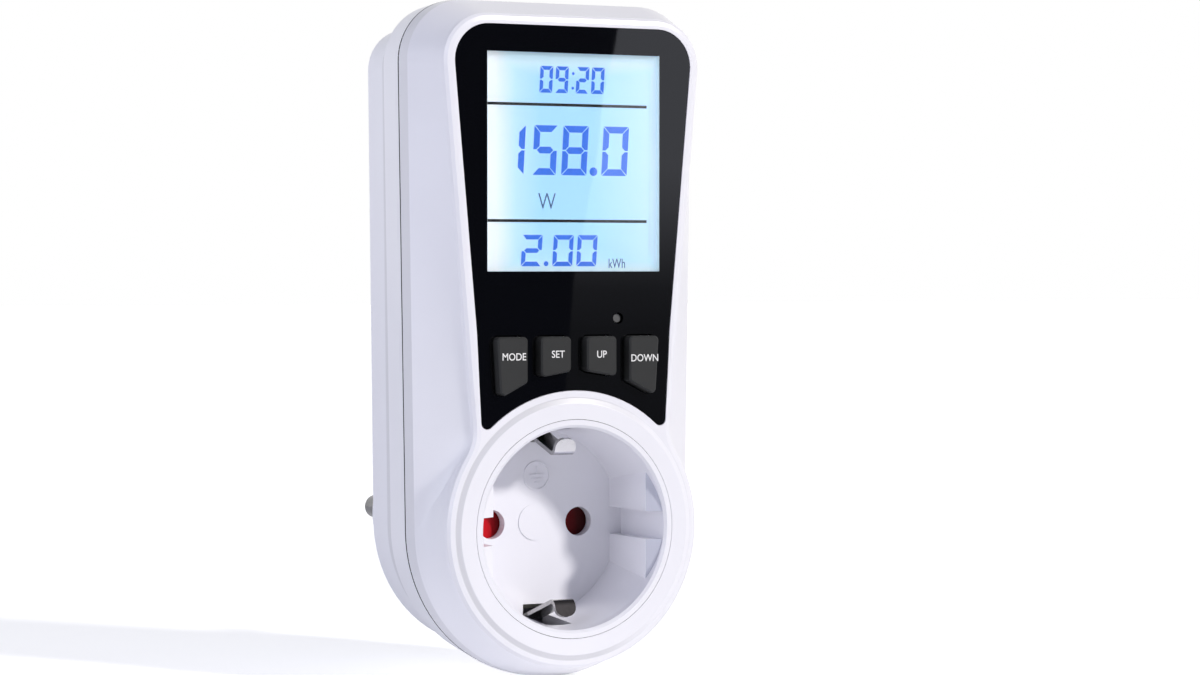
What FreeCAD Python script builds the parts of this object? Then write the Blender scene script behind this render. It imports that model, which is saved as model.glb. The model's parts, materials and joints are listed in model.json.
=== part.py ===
"""Plug-through electricity consumption meter, as a parametric assembly of separate pieces.

Frame: millimetres, Z up, X to the right seen from the front. The origin lies on the axis of the
plug, in the flat rear face that meets the wall socket. The front looks along -Y. A "level" is the
distance out from that rear face towards the front, so y = -level; the plug has negative levels.
"""
import FreeCAD, Part
import math
import os
import re
import Sketcher

# Driving sizes in millimetres and degrees. Each is one cell of the spreadsheet.
SIZES = {
    # housing: outer form
    "rear_depth": 24.8,
    "front_depth": 13.2,
    "lip_depth": 3.6,
    "housing_wall": 2.0,
    "back_wall": 2.2,
    "end_radius": 29.5,
    "shoulder_half": 30.9,
    "shoulder_height": 89.3,
    "housing_top": 101.3,
    "corner_radius": 12.0,
    "lip_draft": 0.2,
    "waist_height": 18.0,
    "border_width": 2.3,
    "front_end_radius": 26.9,
    "waist_radius": 9.0,
    "front_round": 1.5,
    "step_level": 14.2,
    "step_draft": 1.2,
    "step_round": 0.8,
    "pedestal_end_radius": 26.0,
    "pedestal_half": 27.0,
    "pedestal_top": 97.1,
    "pedestal_corner": 8.2,
    "pedestal_draft": 0.9,
    "pedestal_round": 1.4,
    "seam_depth": 0.8,
    "seam_width": 0.35,
    "tongue_height": 1.2,
    "tongue_wall": 0.8,
    "fit_gap": 0.1,
    "moving_gap": 0.3,
    "inner_draft": 1.0,
    "overcut": 1.0,
    # raised ring and socket opening
    "ring_rise": 0.4,
    "ring_flat_radius": 24.1,
    "ring_foot_radius": 25.1,
    "ring_skin": 2.4,
    "socket_rim_radius": 20.95,
    # fascia and display window
    "fascia_radius": 26.6,
    "fascia_sink": 0.15,
    "fascia_thickness": 1.6,
    "fascia_top": 96.0,
    "fascia_corner": 7.0,
    "fascia_half": 25.2,
    "fascia_knee_half": 20.6,
    "fascia_knee_height": 37.5,
    "fascia_foot_half": 19.8,
    "fascia_foot_height": 22.0,
    "fascia_tip_radius": 1.2,
    "window_half": 18.45,
    "window_bottom": 49.3,
    "window_top": 91.0,
    "window_thickness": 1.2,
    # display stack
    "cover_floor": 1.85,
    "glass_margin": 0.75,
    "glass_thickness": 1.1,
    "ledge_height": 2.2,
    "zebra_setback": 0.3,
    "zebra_thickness": 1.6,
    "guide_thickness": 3.0,
    "lamp_strip": 2.4,
    "lamp_half": 1.6,
    "lamp_height": 1.2,
    "lamp_lift": 0.4,
    "lamp_depth": 2.0,
    "frame_margin": 1.0,
    "frame_ledge": 2.0,
    "board_thickness": 1.6,
    "control_board_level": 29.3,
    "control_board_half": 19.6,
    "control_board_bottom": 24.6,
    "control_board_top": 97.8,
    # keys
    "key_rise": 2.15,
    "key_top": 36.9,
    "key_ring_radius": 30.3,
    "key_start": 1.7,
    "key_width": 6.4,
    "key_spacing": 9.2,
    "key_taper": 0.7,
    "key_corner": 0.9,
    "key_bevel": 0.3,
    "key_flange": 0.8,
    "key_wall": 1.1,
    "key_stem": 3.0,
    "key_button_drop": 4.2,
    "key_travel": 0.4,
    "switch_side": 6.0,
    "switch_height": 3.5,
    "switch_button_radius": 1.75,
    "switch_button_rise": 1.2,
    "reset_x": 9.45,
    "reset_z": 40.3,
    "reset_radius": 0.8,
    "reset_hole_radius": 1.1,
    "reset_sink": 0.6,
    # socket recess
    "recess_radius": 19.45,
    "recess_depth": 17.5,
    "recess_floor_radius": 18.3,
    "rim_round": 0.5,
    "guide_half": 16.4,
    "guide_setback": 2.35,
    "notch_half_height": 2.7,
    "notch_half": 19.0,
    "pin_spacing": 19.0,
    "pin_hole_radius": 2.85,
    "socket_floor": 2.2,
    "socket_wall_radius": 20.6,
    "socket_flange_radius": 23.7,
    "socket_flange": 1.5,
    "clip_slot_half": 2.7,
    "clip_slot_inner": 15.9,
    "clip_slot_depth": 10.4,
    # shutter
    "shutter_thickness": 2.8,
    "shutter_gap": 0.3,
    "shutter_hub_radius": 4.0,
    "shutter_pivot_radius": 2.0,
    "shutter_outer": 13.2,
    "shutter_cover_angle": 22.0,
    "spring_thickness": 0.3,
    "spring_width": 1.8,
    "spring_lift": 0.5,
    "spring_foot": 2.0,
    "spring_foot_x": 3.4,
    "spring_foot_z": -10.8,
    "spring_bend_x": 7.0,
    "spring_bend_z": -10.2,
    "spring_reach": 2.6,
    "spring_offset": 0.75,
    # contact carrier and contacts
    "carrier_radius": 17.4,
    "carrier_front_wall": 2.0,
    "carrier_back": 4.0,
    "carrier_screw_x": 11.0,
    "carrier_screw_z": 11.0,
    "pocket_inner": 5.2,
    "pocket_outer": 14.6,
    "pocket_half_height": 4.4,
    "contact_thickness": 0.8,
    "contact_length": 8.0,
    "contact_inner": 6.2,
    "contact_outer": 14.0,
    "contact_flare": 1.6,
    "contact_lead_in": 0.5,
    "contact_bend": 3.0,
    "contact_play": 0.5,
    # earth straps
    "strap_width": 4.4,
    "strap_thickness": 0.8,
    "strap_bend": 1.3,
    "clip_tip_level": 34.2,
    "clip_tip_height": 17.2,
    "clip_apex_level": 33.2,
    "clip_apex_height": 14.0,
    "clip_root_height": 18.4,
    "clip_root_drop": 1.0,
    "strap_side": 19.0,
    # plug
    "boss_radius": 18.4,
    "boss_length": 17.5,
    "boss_end_wall": 2.2,
    "boss_round": 1.0,
    "boss_flat": 16.0,
    "boss_tongue_half": 2.2,
    "boss_earth_half": 3.0,
    "boss_earth_floor": 13.4,
    "boss_cavity_half": 13.6,
    "boss_cavity_height": 11.4,
    "boss_cavity_corner": 6.0,
    "plug_strap_end": 1.5,
    "pin_radius": 2.4,
    "pin_length": 19.0,
    "pin_root_radius": 2.85,
    "pin_root_rise": 0.3,
    "pin_tip_round": 1.2,
    "pin_collar_radius": 3.4,
    "pin_collar": 1.5,
    "pin_neck_radius": 1.9,
    "retainer_thickness": 3.0,
    "retainer_screw_z": 8.0,
    # current bars
    "bar_width": 6.0,
    "bar_thickness": 0.8,
    "bar_plate_level": -1.0,
    "bar_web_height": 8.0,
    "bar_foot": -3.6,
    "bar_rise_level": 2.8,
    "inlet_bar_top": 41.0,
    "outlet_bar_top": 33.0,
    "bar_bend": 1.0,
    "bar_pin_gap": 0.35,
    "bar_through": 1.0,
    "shunt_height": 3.0,
    # power board and its parts
    "power_board_level": 9.0,
    "power_board_half": 21.0,
    "power_board_bottom": 29.6,
    "power_board_top": 84.6,
    "film_cap_width": 18.0,
    "film_cap_thickness": 9.0,
    "film_cap_height": 13.0,
    "film_cap_z": 78.0,
    "can_radius": 5.0,
    "can_height": 12.0,
    "can_x": 14.5,
    "can_z": 66.0,
    "varistor_radius": 5.2,
    "varistor_thickness": 4.0,
    "varistor_x": 2.0,
    "varistor_z": 47.0,
    "lead_radius": 0.35,
    "lead_length": 2.5,
    "fuse_radius": 1.6,
    "fuse_length": 9.0,
    "fuse_x": 13.5,
    "fuse_z": 47.0,
    "battery_radius": 5.8,
    "battery_length": 16.0,
    "battery_z": 60.0,
    "chip_height": 1.6,
    "driver_chip_x": 0.0,
    "driver_chip_z": 82.0,
    "driver_chip_width": 12.0,
    "driver_chip_length": 11.0,
    "crystal_x": -14.2,
    "crystal_z": 75.5,
    "crystal_width": 3.6,
    "crystal_length": 11.0,
    "meter_chip_x": -4.0,
    "meter_chip_z": 60.0,
    "meter_chip_width": 8.0,
    "meter_chip_length": 10.0,
    "link_x": -9.5,
    "link_z": 50.8,
    "link_pitch": 2.54,
    "link_pin": 0.64,
    "link_lift": 2.5,
    # screws and their posts
    "boss_screw_top_x": 23.4,
    "boss_screw_top_z": 89.0,
    "boss_screw_low_x": 22.7,
    "boss_screw_low_z": 24.5,
    "screw_boss_radius": 2.8,
    "screw_seat_level": 8.0,
    "screw_boss_joint": 17.0,
    "low_boss_level": 32.6,
    "screw_shank_radius": 1.25,
    "screw_length": 14.0,
    "screw_head_radius": 2.3,
    "screw_head": 1.8,
    "screw_clearance": 0.15,
    "screw_well_wall": 1.0,
    "thread_bite": 1.8,
    "hole_end": 0.8,
    "small_shank_radius": 0.9,
    "small_head_radius": 1.7,
    "small_head": 1.1,
    "small_length": 5.0,
    "post_radius": 1.9,
    "control_post_x": 16.0,
    "control_post_z": 41.8,
    "control_post_top_x": 12.0,
    "control_post_top_z": 96.0,
    "power_post_x": 17.5,
    "power_post_low_z": 38.0,
    "power_post_top_z": 76.0,
}

# Cells worked out from the driving sizes.
DERIVED = {
    "front_level": "rear_depth + front_depth",
    "ring_level": "front_level + ring_rise",
    "lip_level": "rear_depth + lip_depth",
    "front_half": "fascia_half + border_width",
    "front_knee_half": "fascia_knee_half + border_width",
    "front_top": "fascia_top + border_width",
    "front_corner": "fascia_corner + border_width",
    "fascia_level": "front_level - fascia_sink",
    "fascia_back": "fascia_level - fascia_thickness",
    "cover_inside": "fascia_back - cover_floor",
    "ring_inside": "ring_level - ring_skin",
    "taper_share": "(cover_inside - lip_level) / (front_level - lip_level)",
    "glass_level": "fascia_back - fit_gap",
    "glass_half": "window_half + glass_margin",
    "glass_bottom": "window_bottom - glass_margin - ledge_height",
    "glass_top": "window_top + glass_margin",
    "glass_back": "glass_level - 2 * glass_thickness",
    "guide_back": "glass_back - fit_gap - guide_thickness",
    "frame_half": "glass_half + frame_margin",
    "frame_bottom": "glass_bottom - frame_margin",
    "frame_top": "glass_top + frame_margin",
    "board_back": "control_board_level - board_thickness",
    "key_face": "fascia_level + key_rise",
    "flange_front": "cover_inside - fit_gap",
    "flange_back": "flange_front - key_flange",
    "button_level": "control_board_level + switch_height + switch_button_rise",
    "reset_tip": "fascia_level - reset_sink",
    "floor_level": "ring_level - recess_depth",
    "floor_back": "floor_level - socket_floor",
    "guide_level": "ring_level - guide_setback",
    "guide_height": "sqrt(recess_radius ^ 2 - guide_half ^ 2)",
    "guide_root": "(recess_radius + socket_wall_radius) / 2",
    "pin_half": "pin_spacing / 2",
    "shutter_front": "floor_back - shutter_gap",
    "shutter_back": "shutter_front - shutter_thickness",
    "carrier_front": "shutter_back - shutter_gap",
    "contact_front": "carrier_front - carrier_front_wall - fit_gap",
    "contact_back": "contact_front - contact_length",
    "clip_slot_level": "floor_level + clip_slot_depth",
    "clip_root_level": "floor_level - clip_root_drop",
    "strap_level": "back_wall + strap_thickness",
    "boss_inside": "boss_end_wall - boss_length",
    "collar_back": "boss_inside + pin_collar",
    "power_board_back": "power_board_level - board_thickness",
    "screw_tip_level": "screw_seat_level + screw_length",
    "lip_lean": "(shoulder_half - end_radius) / shoulder_height",
    "lip_half_at_knee": "end_radius - lip_draft + lip_lean * fascia_knee_height",
}

doc = FreeCAD.newDocument("electricity_meter")
sheet = doc.addObject("Spreadsheet::Sheet", "Sizes")
NAMES = re.compile(r"\b(" + "|".join(list(SIZES) + list(DERIVED)) + r")\b")
ORIGIN = -1
POINT_START, POINT_END, POINT_CENTRE = 1, 2, 3
TINY = 1e-4
nodes = {}


def fill_sheet():
    """Write every size into the spreadsheet, with its name as the alias."""
    cells = [(name, str(size)) for name, size in SIZES.items()]
    cells += [(name, "=" + formula) for name, formula in DERIVED.items()]
    for row, (name, content) in enumerate(cells, start=1):
        sheet.set("A%d" % row, name)
        sheet.set("B%d" % row, content)
        sheet.setAlias("B%d" % row, name)
    doc.recompute()


def number(formula):
    """The present value of a formula in the sheet's names."""
    return float(sheet.evalExpression(str(formula)))


def bind(item, prop, formula):
    """Tie a property of a document object to the spreadsheet."""
    item.setExpression(prop, NAMES.sub(r"Sizes.\1", str(formula)))


def minus(formula):
    """The formula with its sign turned."""
    return "-(%s)" % formula


class Drawing:
    """Collects the geometry and the named constraints of one sketch."""

    def __init__(self, sketch):
        self.sketch = sketch
        self.rules = []

    def add(self, shape, construction=False):
        return self.sketch.addGeometry(shape, construction)

    def rule(self, *args, formula=None):
        self.rules.append((args, formula))

    def place(self, item, point, x, z):
        """Hold a point at x, z given as formulas."""
        self.rule("DistanceX", ORIGIN, 1, item, point, number(x), formula=x)
        self.rule("DistanceY", ORIGIN, 1, item, point, number(z), formula=z)

    def radius(self, item, formula):
        self.rule("Radius", item, number(formula), formula=formula)

    def spot(self, item, point):
        """Start or end of a drawn line, as plain numbers."""
        shape = self.sketch.Geometry[item]
        end = shape.StartPoint if point == POINT_START else shape.EndPoint
        return (end.x, end.y)

    def close(self):
        first = len(self.sketch.Constraints)
        self.sketch.addConstraint([Sketcher.Constraint(*args) for args, _ in self.rules])
        for index, (_, formula) in enumerate(self.rules):
            if formula is not None:
                bind(self.sketch, "Constraints[%d]" % (first + index), formula)


def vector(x, z):
    return FreeCAD.Vector(x, z, 0)


def line(start, end):
    return Part.LineSegment(vector(*start), vector(*end))


def arc(centre, start, end, clockwise=False):
    """Arc about a centre from start to end; Sketcher keeps arcs counter-clockwise."""
    if clockwise:
        start, end = end, start
    radius = math.dist(centre, start)
    angles = [math.atan2(p[1] - centre[1], p[0] - centre[0]) for p in (start, end)]
    circle = Part.Circle(vector(*centre), FreeCAD.Vector(0, 0, 1), radius)
    return Part.ArcOfCircle(circle, angles[0], angles[1])


def draw_circle(sketch, x, z, radius):
    drawing = Drawing(sketch)
    centre = FreeCAD.Vector(number(x), number(z), 0)
    item = drawing.add(Part.Circle(centre, FreeCAD.Vector(0, 0, 1), number(radius)))
    drawing.place(item, POINT_CENTRE, x, z)
    drawing.radius(item, radius)
    drawing.close()


def corner_cut(before, corner, after, radius):
    """Tangent points and centre of an arc that rounds a corner."""
    into = [(before[k] - corner[k]) / math.dist(before, corner) for k in (0, 1)]
    out = [(after[k] - corner[k]) / math.dist(after, corner) for k in (0, 1)]
    half = math.acos(max(-1.0, min(1.0, into[0] * out[0] + into[1] * out[1]))) / 2
    reach = radius / math.tan(half)
    first = tuple(corner[k] + into[k] * reach for k in (0, 1))
    last = tuple(corner[k] + out[k] * reach for k in (0, 1))
    middle = [into[k] + out[k] for k in (0, 1)]
    length = math.hypot(*middle)
    centre = tuple(corner[k] + middle[k] / length * radius / math.sin(half) for k in (0, 1))
    return first, last, centre, into[0] * out[1] > into[1] * out[0]


def draw_path(sketch, points, radii, closed):
    """Straight runs through corners given as formulas, each corner rounded where it has a radius."""
    drawing = Drawing(sketch)
    spots = [(number(x), number(z)) for x, z in points]
    count = len(points)
    cuts = []
    for index in range(count):
        inner = closed or 0 < index < count - 1
        if inner and radii[index] is not None:
            around = spots[index - 1], spots[index], spots[(index + 1) % count]
            cuts.append(corner_cut(*around, number(radii[index])))
        else:
            cuts.append(None)
    marks = {}
    for index, cut in enumerate(cuts):
        if cut:
            marks[index] = drawing.add(Part.Point(vector(*spots[index])), True)
            drawing.place(marks[index], POINT_START, *points[index])
    lines = []
    for index in range(count if closed else count - 1):
        following = (index + 1) % count
        start = cuts[index][1] if cuts[index] else spots[index]
        end = cuts[following][0] if cuts[following] else spots[following]
        lines.append(drawing.add(line(start, end)))
        for corner in (index, following):
            if corner in marks:
                drawing.rule("PointOnObject", marks[corner], POINT_START, lines[-1])
    for index, cut in enumerate(cuts):
        before = lines[index - 1] if closed or index > 0 else None
        after = lines[index] if index < len(lines) else None
        if cut:
            first, last, centre, clockwise = cut
            item = drawing.add(arc(centre, first, last, clockwise))
            ends = (POINT_END, POINT_START) if clockwise else (POINT_START, POINT_END)
            drawing.rule("Tangent", before, POINT_END, item, ends[0])
            drawing.rule("Tangent", after, POINT_START, item, ends[1])
            drawing.radius(item, radii[index])
        elif before is not None and after is not None:
            drawing.rule("Coincident", before, POINT_END, after, POINT_START)
            drawing.place(after, POINT_START, *points[index])
        elif before is None:
            drawing.place(after, POINT_START, *points[index])
        else:
            drawing.place(before, POINT_END, *points[index])
    drawing.close()


def draw_polygon(sketch, points, radius=None):
    draw_path(sketch, points, [radius] * len(points), True)


def draw_rectangle(sketch, left, bottom, right, top, radius=None):
    draw_polygon(sketch, [(left, bottom), (right, bottom), (right, top), (left, top)], radius)


def line_circle_centre(start, end, offset, reach):
    """Centre at a signed offset to the right of a rising line and at a reach from the origin, lower one."""
    length = math.dist(start, end)
    along = ((end[0] - start[0]) / length, (end[1] - start[1]) / length)
    right = (along[1], -along[0])
    base = (start[0] + right[0] * offset, start[1] + right[1] * offset)
    dot = base[0] * along[0] + base[1] * along[1]
    root = math.sqrt(dot * dot - (base[0] ** 2 + base[1] ** 2 - reach * reach))
    shift = max(-dot + root, -dot - root)
    centre = (base[0] + along[0] * shift, base[1] + along[1] * shift)
    foot = (centre[0] - right[0] * offset, centre[1] - right[1] * offset)
    return centre, foot


def draw_housing(sketch, end, half, top, corner, waist=None, knee_half=None):
    """Housing outline: round lower end about the plug axis, flared sides, rounded shoulders, flat top.

    With a waist the sides meet the round end in a hollow arc, and without one they run on to it.
    """
    drawing = Drawing(sketch)
    end_r, top_z, corner_r = number(end), number(top), number(corner)
    shoulder = (number(half), number("shoulder_height"))
    if waist is None:
        reach = math.dist((0, 0), shoulder)
        lean = math.atan2(shoulder[1], shoulder[0]) - math.acos(end_r / reach)
        ring_point = (end_r * math.cos(lean), end_r * math.sin(lean))
        share = (number("waist_height") - ring_point[1]) / (shoulder[1] - ring_point[1])
        knee = (ring_point[0] + (shoulder[0] - ring_point[0]) * share, number("waist_height"))
        base = ring_point
    else:
        waist_r = number(waist)
        base = (number(knee_half), number("fascia_knee_height"))
        hollow, knee = line_circle_centre(base, shoulder, waist_r, end_r + waist_r)
        ring_point = tuple(value * end_r / (end_r + waist_r) for value in hollow)
    run = math.dist(base, shoulder)
    along = ((shoulder[0] - base[0]) / run, (shoulder[1] - base[1]) / run)
    centre_z = top_z - corner_r
    climb = (centre_z + along[0] * corner_r - base[1]) / along[1]
    side_end = (base[0] + along[0] * climb, base[1] + along[1] * climb)
    centre = (side_end[0] - along[1] * corner_r, centre_z)

    def flip(point, side):
        return (point[0] * side, point[1])

    ring = drawing.add(arc((0, 0), flip(ring_point, -1), ring_point))
    drawing.rule("Coincident", ring, POINT_CENTRE, ORIGIN, 1)
    drawing.radius(ring, end)
    bends, sides, shoulders = {}, {}, {}
    for side in (1, -1):
        if waist is None:
            bends[side] = drawing.add(line(flip(ring_point, side), flip(knee, side)))
        else:
            ends = (flip(ring_point, side), flip(knee, side))
            bends[side] = drawing.add(arc(flip(hollow, side), *ends, side > 0))
        sides[side] = drawing.add(line(flip(knee, side), flip(side_end, side)))
        corner_top = (centre[0], top_z)
        ends = (flip(side_end, side), flip(corner_top, side))
        shoulders[side] = drawing.add(arc(flip(centre, side), *ends, side < 0))
    roof = drawing.add(line((centre[0], top_z), (-centre[0], top_z)))
    for side in (1, -1):
        flat = waist is None
        right = side > 0
        ring_end = POINT_END if right else POINT_START
        bend_low = POINT_START if flat or not right else POINT_END
        bend_high = POINT_END if flat or not right else POINT_START
        corner_low, corner_high = (POINT_START, POINT_END) if right else (POINT_END, POINT_START)
        drawing.rule("Tangent", ring, ring_end, bends[side], bend_low)
        if flat:
            drawing.rule("Coincident", bends[side], bend_high, sides[side], POINT_START)
            drawing.rule("Parallel", bends[side], sides[side])
            drawing.rule("DistanceY", ORIGIN, 1, sides[side], POINT_START, knee[1], formula="waist_height")
        else:
            drawing.rule("Tangent", bends[side], bend_high, sides[side], POINT_START)
            drawing.radius(bends[side], waist)
            mark = drawing.add(Part.Point(vector(*flip(base, side))), True)
            drawing.place(mark, POINT_START, knee_half if right else minus(knee_half), "fascia_knee_height")
            drawing.rule("PointOnObject", mark, POINT_START, sides[side])
        mark = drawing.add(Part.Point(vector(*flip(shoulder, side))), True)
        drawing.place(mark, POINT_START, half if right else minus(half), "shoulder_height")
        drawing.rule("PointOnObject", mark, POINT_START, sides[side])
        drawing.rule("Tangent", sides[side], POINT_END, shoulders[side], corner_low)
        drawing.radius(shoulders[side], corner)
        roof_end = POINT_START if right else POINT_END
        drawing.rule("Tangent", shoulders[side], corner_high, roof, roof_end)
    drawing.rule("DistanceY", ORIGIN, 1, roof, POINT_START, top_z, formula=top)
    drawing.rule("Horizontal", roof)
    drawing.close()


def draw_fascia(sketch, grow):
    """Fascia outline: hollow lower arc about the plug axis, small tips, two-part sides, round shoulders."""
    drawing = Drawing(sketch)
    hollow = "fascia_radius - %s" % grow
    tip = "fascia_tip_radius + %s" % grow
    halves = ["%s + %s" % (name, grow) for name in ("fascia_foot_half", "fascia_knee_half", "fascia_half")]
    heights = ["fascia_foot_height", "fascia_knee_height", "shoulder_height"]
    top = "fascia_top + %s" % grow
    corner = "fascia_corner + %s" % grow
    foot, knee, shoulder = [(number(x), number(z)) for x, z in zip(halves, heights)]
    tip_centre, tip_foot = line_circle_centre(foot, knee, -number(tip), number(hollow) + number(tip))
    share = number(hollow) / (number(hollow) + number(tip))
    tip_ring = (tip_centre[0] * share, tip_centre[1] * share)
    run = math.dist(knee, shoulder)
    along = ((shoulder[0] - knee[0]) / run, (shoulder[1] - knee[1]) / run)
    centre_z = number(top) - number(corner)
    climb = (centre_z + along[0] * number(corner) - knee[1]) / along[1]
    side_end = (knee[0] + along[0] * climb, knee[1] + along[1] * climb)
    centre = (side_end[0] - along[1] * number(corner), centre_z)

    def flip(point, side):
        return (point[0] * side, point[1])

    arch = drawing.add(arc((0, 0), tip_ring, flip(tip_ring, -1)))
    drawing.rule("Coincident", arch, POINT_CENTRE, ORIGIN, 1)
    drawing.radius(arch, hollow)
    roof = drawing.add(line((centre[0], number(top)), (-centre[0], number(top))))
    for side in (1, -1):
        right = side > 0
        tips = drawing.add(arc(flip(tip_centre, side), flip(tip_ring, side), flip(tip_foot, side), not right))
        low = drawing.add(line(flip(tip_foot, side), flip(knee, side)))
        high = drawing.add(line(flip(knee, side), flip(side_end, side)))
        ends = flip(side_end, side), flip((centre[0], number(top)), side)
        bend = drawing.add(arc(flip(centre, side), ends[0], ends[1], not right))
        first, last = (POINT_START, POINT_END) if right else (POINT_END, POINT_START)
        drawing.rule("Tangent", arch, POINT_START if right else POINT_END, tips, first)
        drawing.radius(tips, tip)
        drawing.rule("Tangent", tips, last, low, POINT_START)
        drawing.rule("Coincident", low, POINT_END, high, POINT_START)
        signs = [half if right else minus(half) for half in halves]
        drawing.place(low, POINT_END, signs[1], heights[1])
        marks = ((signs[0], heights[0], foot, low), (signs[2], heights[2], shoulder, high))
        for name, height, spot, carrier in marks:
            mark = drawing.add(Part.Point(vector(*flip(spot, side))), True)
            drawing.place(mark, POINT_START, name, height)
            drawing.rule("PointOnObject", mark, POINT_START, carrier)
        drawing.rule("Tangent", high, POINT_END, bend, first)
        drawing.radius(bend, corner)
        drawing.rule("Tangent", bend, last, roof, POINT_START if right else POINT_END)
    drawing.rule("DistanceY", ORIGIN, 1, roof, POINT_START, number(top), formula=top)
    drawing.rule("Horizontal", roof)
    drawing.close()


class Piece:
    """One rigid piece: a PartDesign body whose label is the name of its node."""

    def __init__(self, label):
        self.label = label
        self.body = doc.addObject("PartDesign::Body", label)
        self.body.Label = label
        self.count = 0
        nodes[label] = self.body

    def named(self, kind):
        self.count += 1
        return "%s_%s_%d" % (self.label, kind, self.count)

    def sketch(self, level="0", plane="XZ_Plane"):
        """Empty sketch at a level out from the wall face, or on another origin plane."""
        item = self.body.newObject("Sketcher::SketchObject", self.named("sketch"))
        support = [part for part in self.body.Origin.OriginFeatures if part.Role == plane][0]
        item.AttachmentSupport = [(support, "")]
        item.MapMode = "FlatFace"
        bind(item, "AttachmentOffset.Base.z", level)
        return item

    def feature(self, kind, profile=None):
        item = self.body.newObject("PartDesign::" + kind, self.named(kind.lower()))
        if profile is not None:
            item.Profile = profile
        return item

    def pad(self, profile, length, taper=None):
        """Pad a sketch towards the front; a negative length goes towards the back."""
        item = self.feature("Pad", profile)
        back = number(length) < 0
        item.Reversed = back
        bind(item, "Length", minus(length) if back else length)
        if taper is not None:
            bind(item, "TaperAngle", taper)
        return self.settle(item, 1)

    def pocket(self, profile, length):
        """Cut from a sketch towards the back; a negative length cuts towards the front."""
        item = self.feature("Pocket", profile)
        front = number(length) < 0
        item.Reversed = front
        bind(item, "Length", minus(length) if front else length)
        return self.settle(item, -1)

    def loft(self, first, others, cut=False):
        item = self.feature("SubtractiveLoft" if cut else "AdditiveLoft", first)
        item.Sections = others
        item.Ruled = True
        return self.settle(item, -1 if cut else 1)

    def revolve(self, profile, cut=False):
        item = self.feature("Groove" if cut else "Revolution", profile)
        item.ReferenceAxis = (profile, ["V_Axis"])
        item.Angle = 360.0
        return self.settle(item, -1 if cut else 1)

    def dress(self, kind, test, size):
        """Fillet or chamfer the edges of the present solid that pass a test."""
        base = self.body.Tip
        edges = ["Edge%d" % (i + 1) for i, edge in enumerate(base.Shape.Edges) if test(edge)]
        if not edges:
            raise ValueError("%s: no edge found for the %s" % (self.label, kind.lower()))
        item = self.feature(kind)
        item.Base = (base, edges)
        bind(item, "Radius" if kind == "Fillet" else "Size", size)
        return self.settle(item, 0)

    def settle(self, item, sign):
        """Recompute, and check that the feature added or took away material as it should."""
        before = self.volume()
        self.body.Tip = item
        doc.recompute()
        broken = "Invalid" in item.State or "Error" in item.State
        if broken or item.Shape.isNull() or not item.Shape.isValid():
            raise ValueError("%s failed: %s" % (item.Name, item.State))
        after = item.Shape.Volume
        if sign and (after - before) * sign < TINY:
            raise ValueError("%s changed nothing: %.4f to %.4f" % (item.Name, before, after))
        self.solid_volume = after
        return item

    def volume(self):
        return getattr(self, "solid_volume", 0.0)


def on_level(level, inside=None):
    """Test for edges that lie wholly at one level, and inside a radius of the plug axis if given."""
    place = -number(level)

    def test(edge):
        box = edge.BoundBox
        if abs(box.YMin - place) > TINY or abs(box.YMax - place) > TINY:
            return False
        return inside is None or max(math.hypot(v.X, v.Z) for v in edge.Vertexes) < inside
    return test


def along_depth(edge):
    """Test for straight edges that run front to back."""
    box = edge.BoundBox
    return box.YLength > TINY and box.XLength < TINY and box.ZLength < TINY


def add_cylinder(label, x, z, radius, low, high):
    """A plain Part cylinder along the depth, from a low level up to a high one."""
    item = doc.addObject("Part::Cylinder", label)
    bind(item, "Radius", radius)
    bind(item, "Height", "(%s) - (%s)" % (high, low))
    item.Placement = FreeCAD.Placement(FreeCAD.Vector(), FreeCAD.Rotation(FreeCAD.Vector(1, 0, 0), 90))
    bind(item, "Placement.Base.x", x)
    bind(item, "Placement.Base.y", minus(low))
    bind(item, "Placement.Base.z", z)
    return item


def add_box(label, left, right, low, high, bottom, top):
    """A plain Part box between two x, two levels and two z."""
    item = doc.addObject("Part::Box", label)
    bind(item, "Length", "(%s) - (%s)" % (right, left))
    bind(item, "Width", "(%s) - (%s)" % (high, low))
    bind(item, "Height", "(%s) - (%s)" % (top, bottom))
    bind(item, "Placement.Base.x", left)
    bind(item, "Placement.Base.y", minus(high))
    bind(item, "Placement.Base.z", bottom)
    return item


def fuse(label, shapes):
    item = doc.addObject("Part::MultiFuse", label)
    item.Shapes = shapes
    return item


def group(label, members):
    """Identical pieces that share one node, as separate solids."""
    item = doc.addObject("Part::Compound", label)
    item.Label = label
    item.Links = members
    nodes[label] = item


def screw(label, x, z, seat, length, head, shank_radius, head_radius, towards_front):
    """Pan head screw with its head's underside at the seat level."""
    side = 1 if towards_front else -1
    tip = "%s + (%d) * (%s)" % (seat, side, length)
    crown = "%s - (%d) * (%s)" % (seat, side, head)
    shank = (seat, tip) if towards_front else (tip, seat)
    cap = (crown, seat) if towards_front else (seat, crown)
    body = add_cylinder(label + "_shank", x, z, shank_radius, *shank)
    crown_part = add_cylinder(label + "_head", x, z, head_radius, *cap)
    return fuse(label, [body, crown_part])


def key_outline(index, grow="0"):
    """Corners of one key; keys 0 to 3 run left to right and are mirrored about the middle."""
    right = index > 1
    outer = index in (0, 3)
    near = "key_start + %s" % ("key_spacing" if outer else "0")
    far = "%s + key_width" % near
    far_low = "%s - key_taper" % far if outer else far
    inner_drop = "sqrt(key_ring_radius ^ 2 - (%s) ^ 2)" % near
    outer_drop = "sqrt(key_ring_radius ^ 2 - (%s) ^ 2)" % far_low
    corners = [
        ("%s - %s" % (near, grow), "%s - %s" % (inner_drop, grow)),
        ("%s + %s" % (far_low, grow), "%s - %s" % (outer_drop, grow)),
        ("%s + %s" % (far, grow), "key_top + %s" % grow),
        ("%s - %s" % (near, grow), "key_top + %s" % grow),
    ]
    if right:
        return corners
    return [(minus(x), z) for x, z in reversed(corners)]


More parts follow.
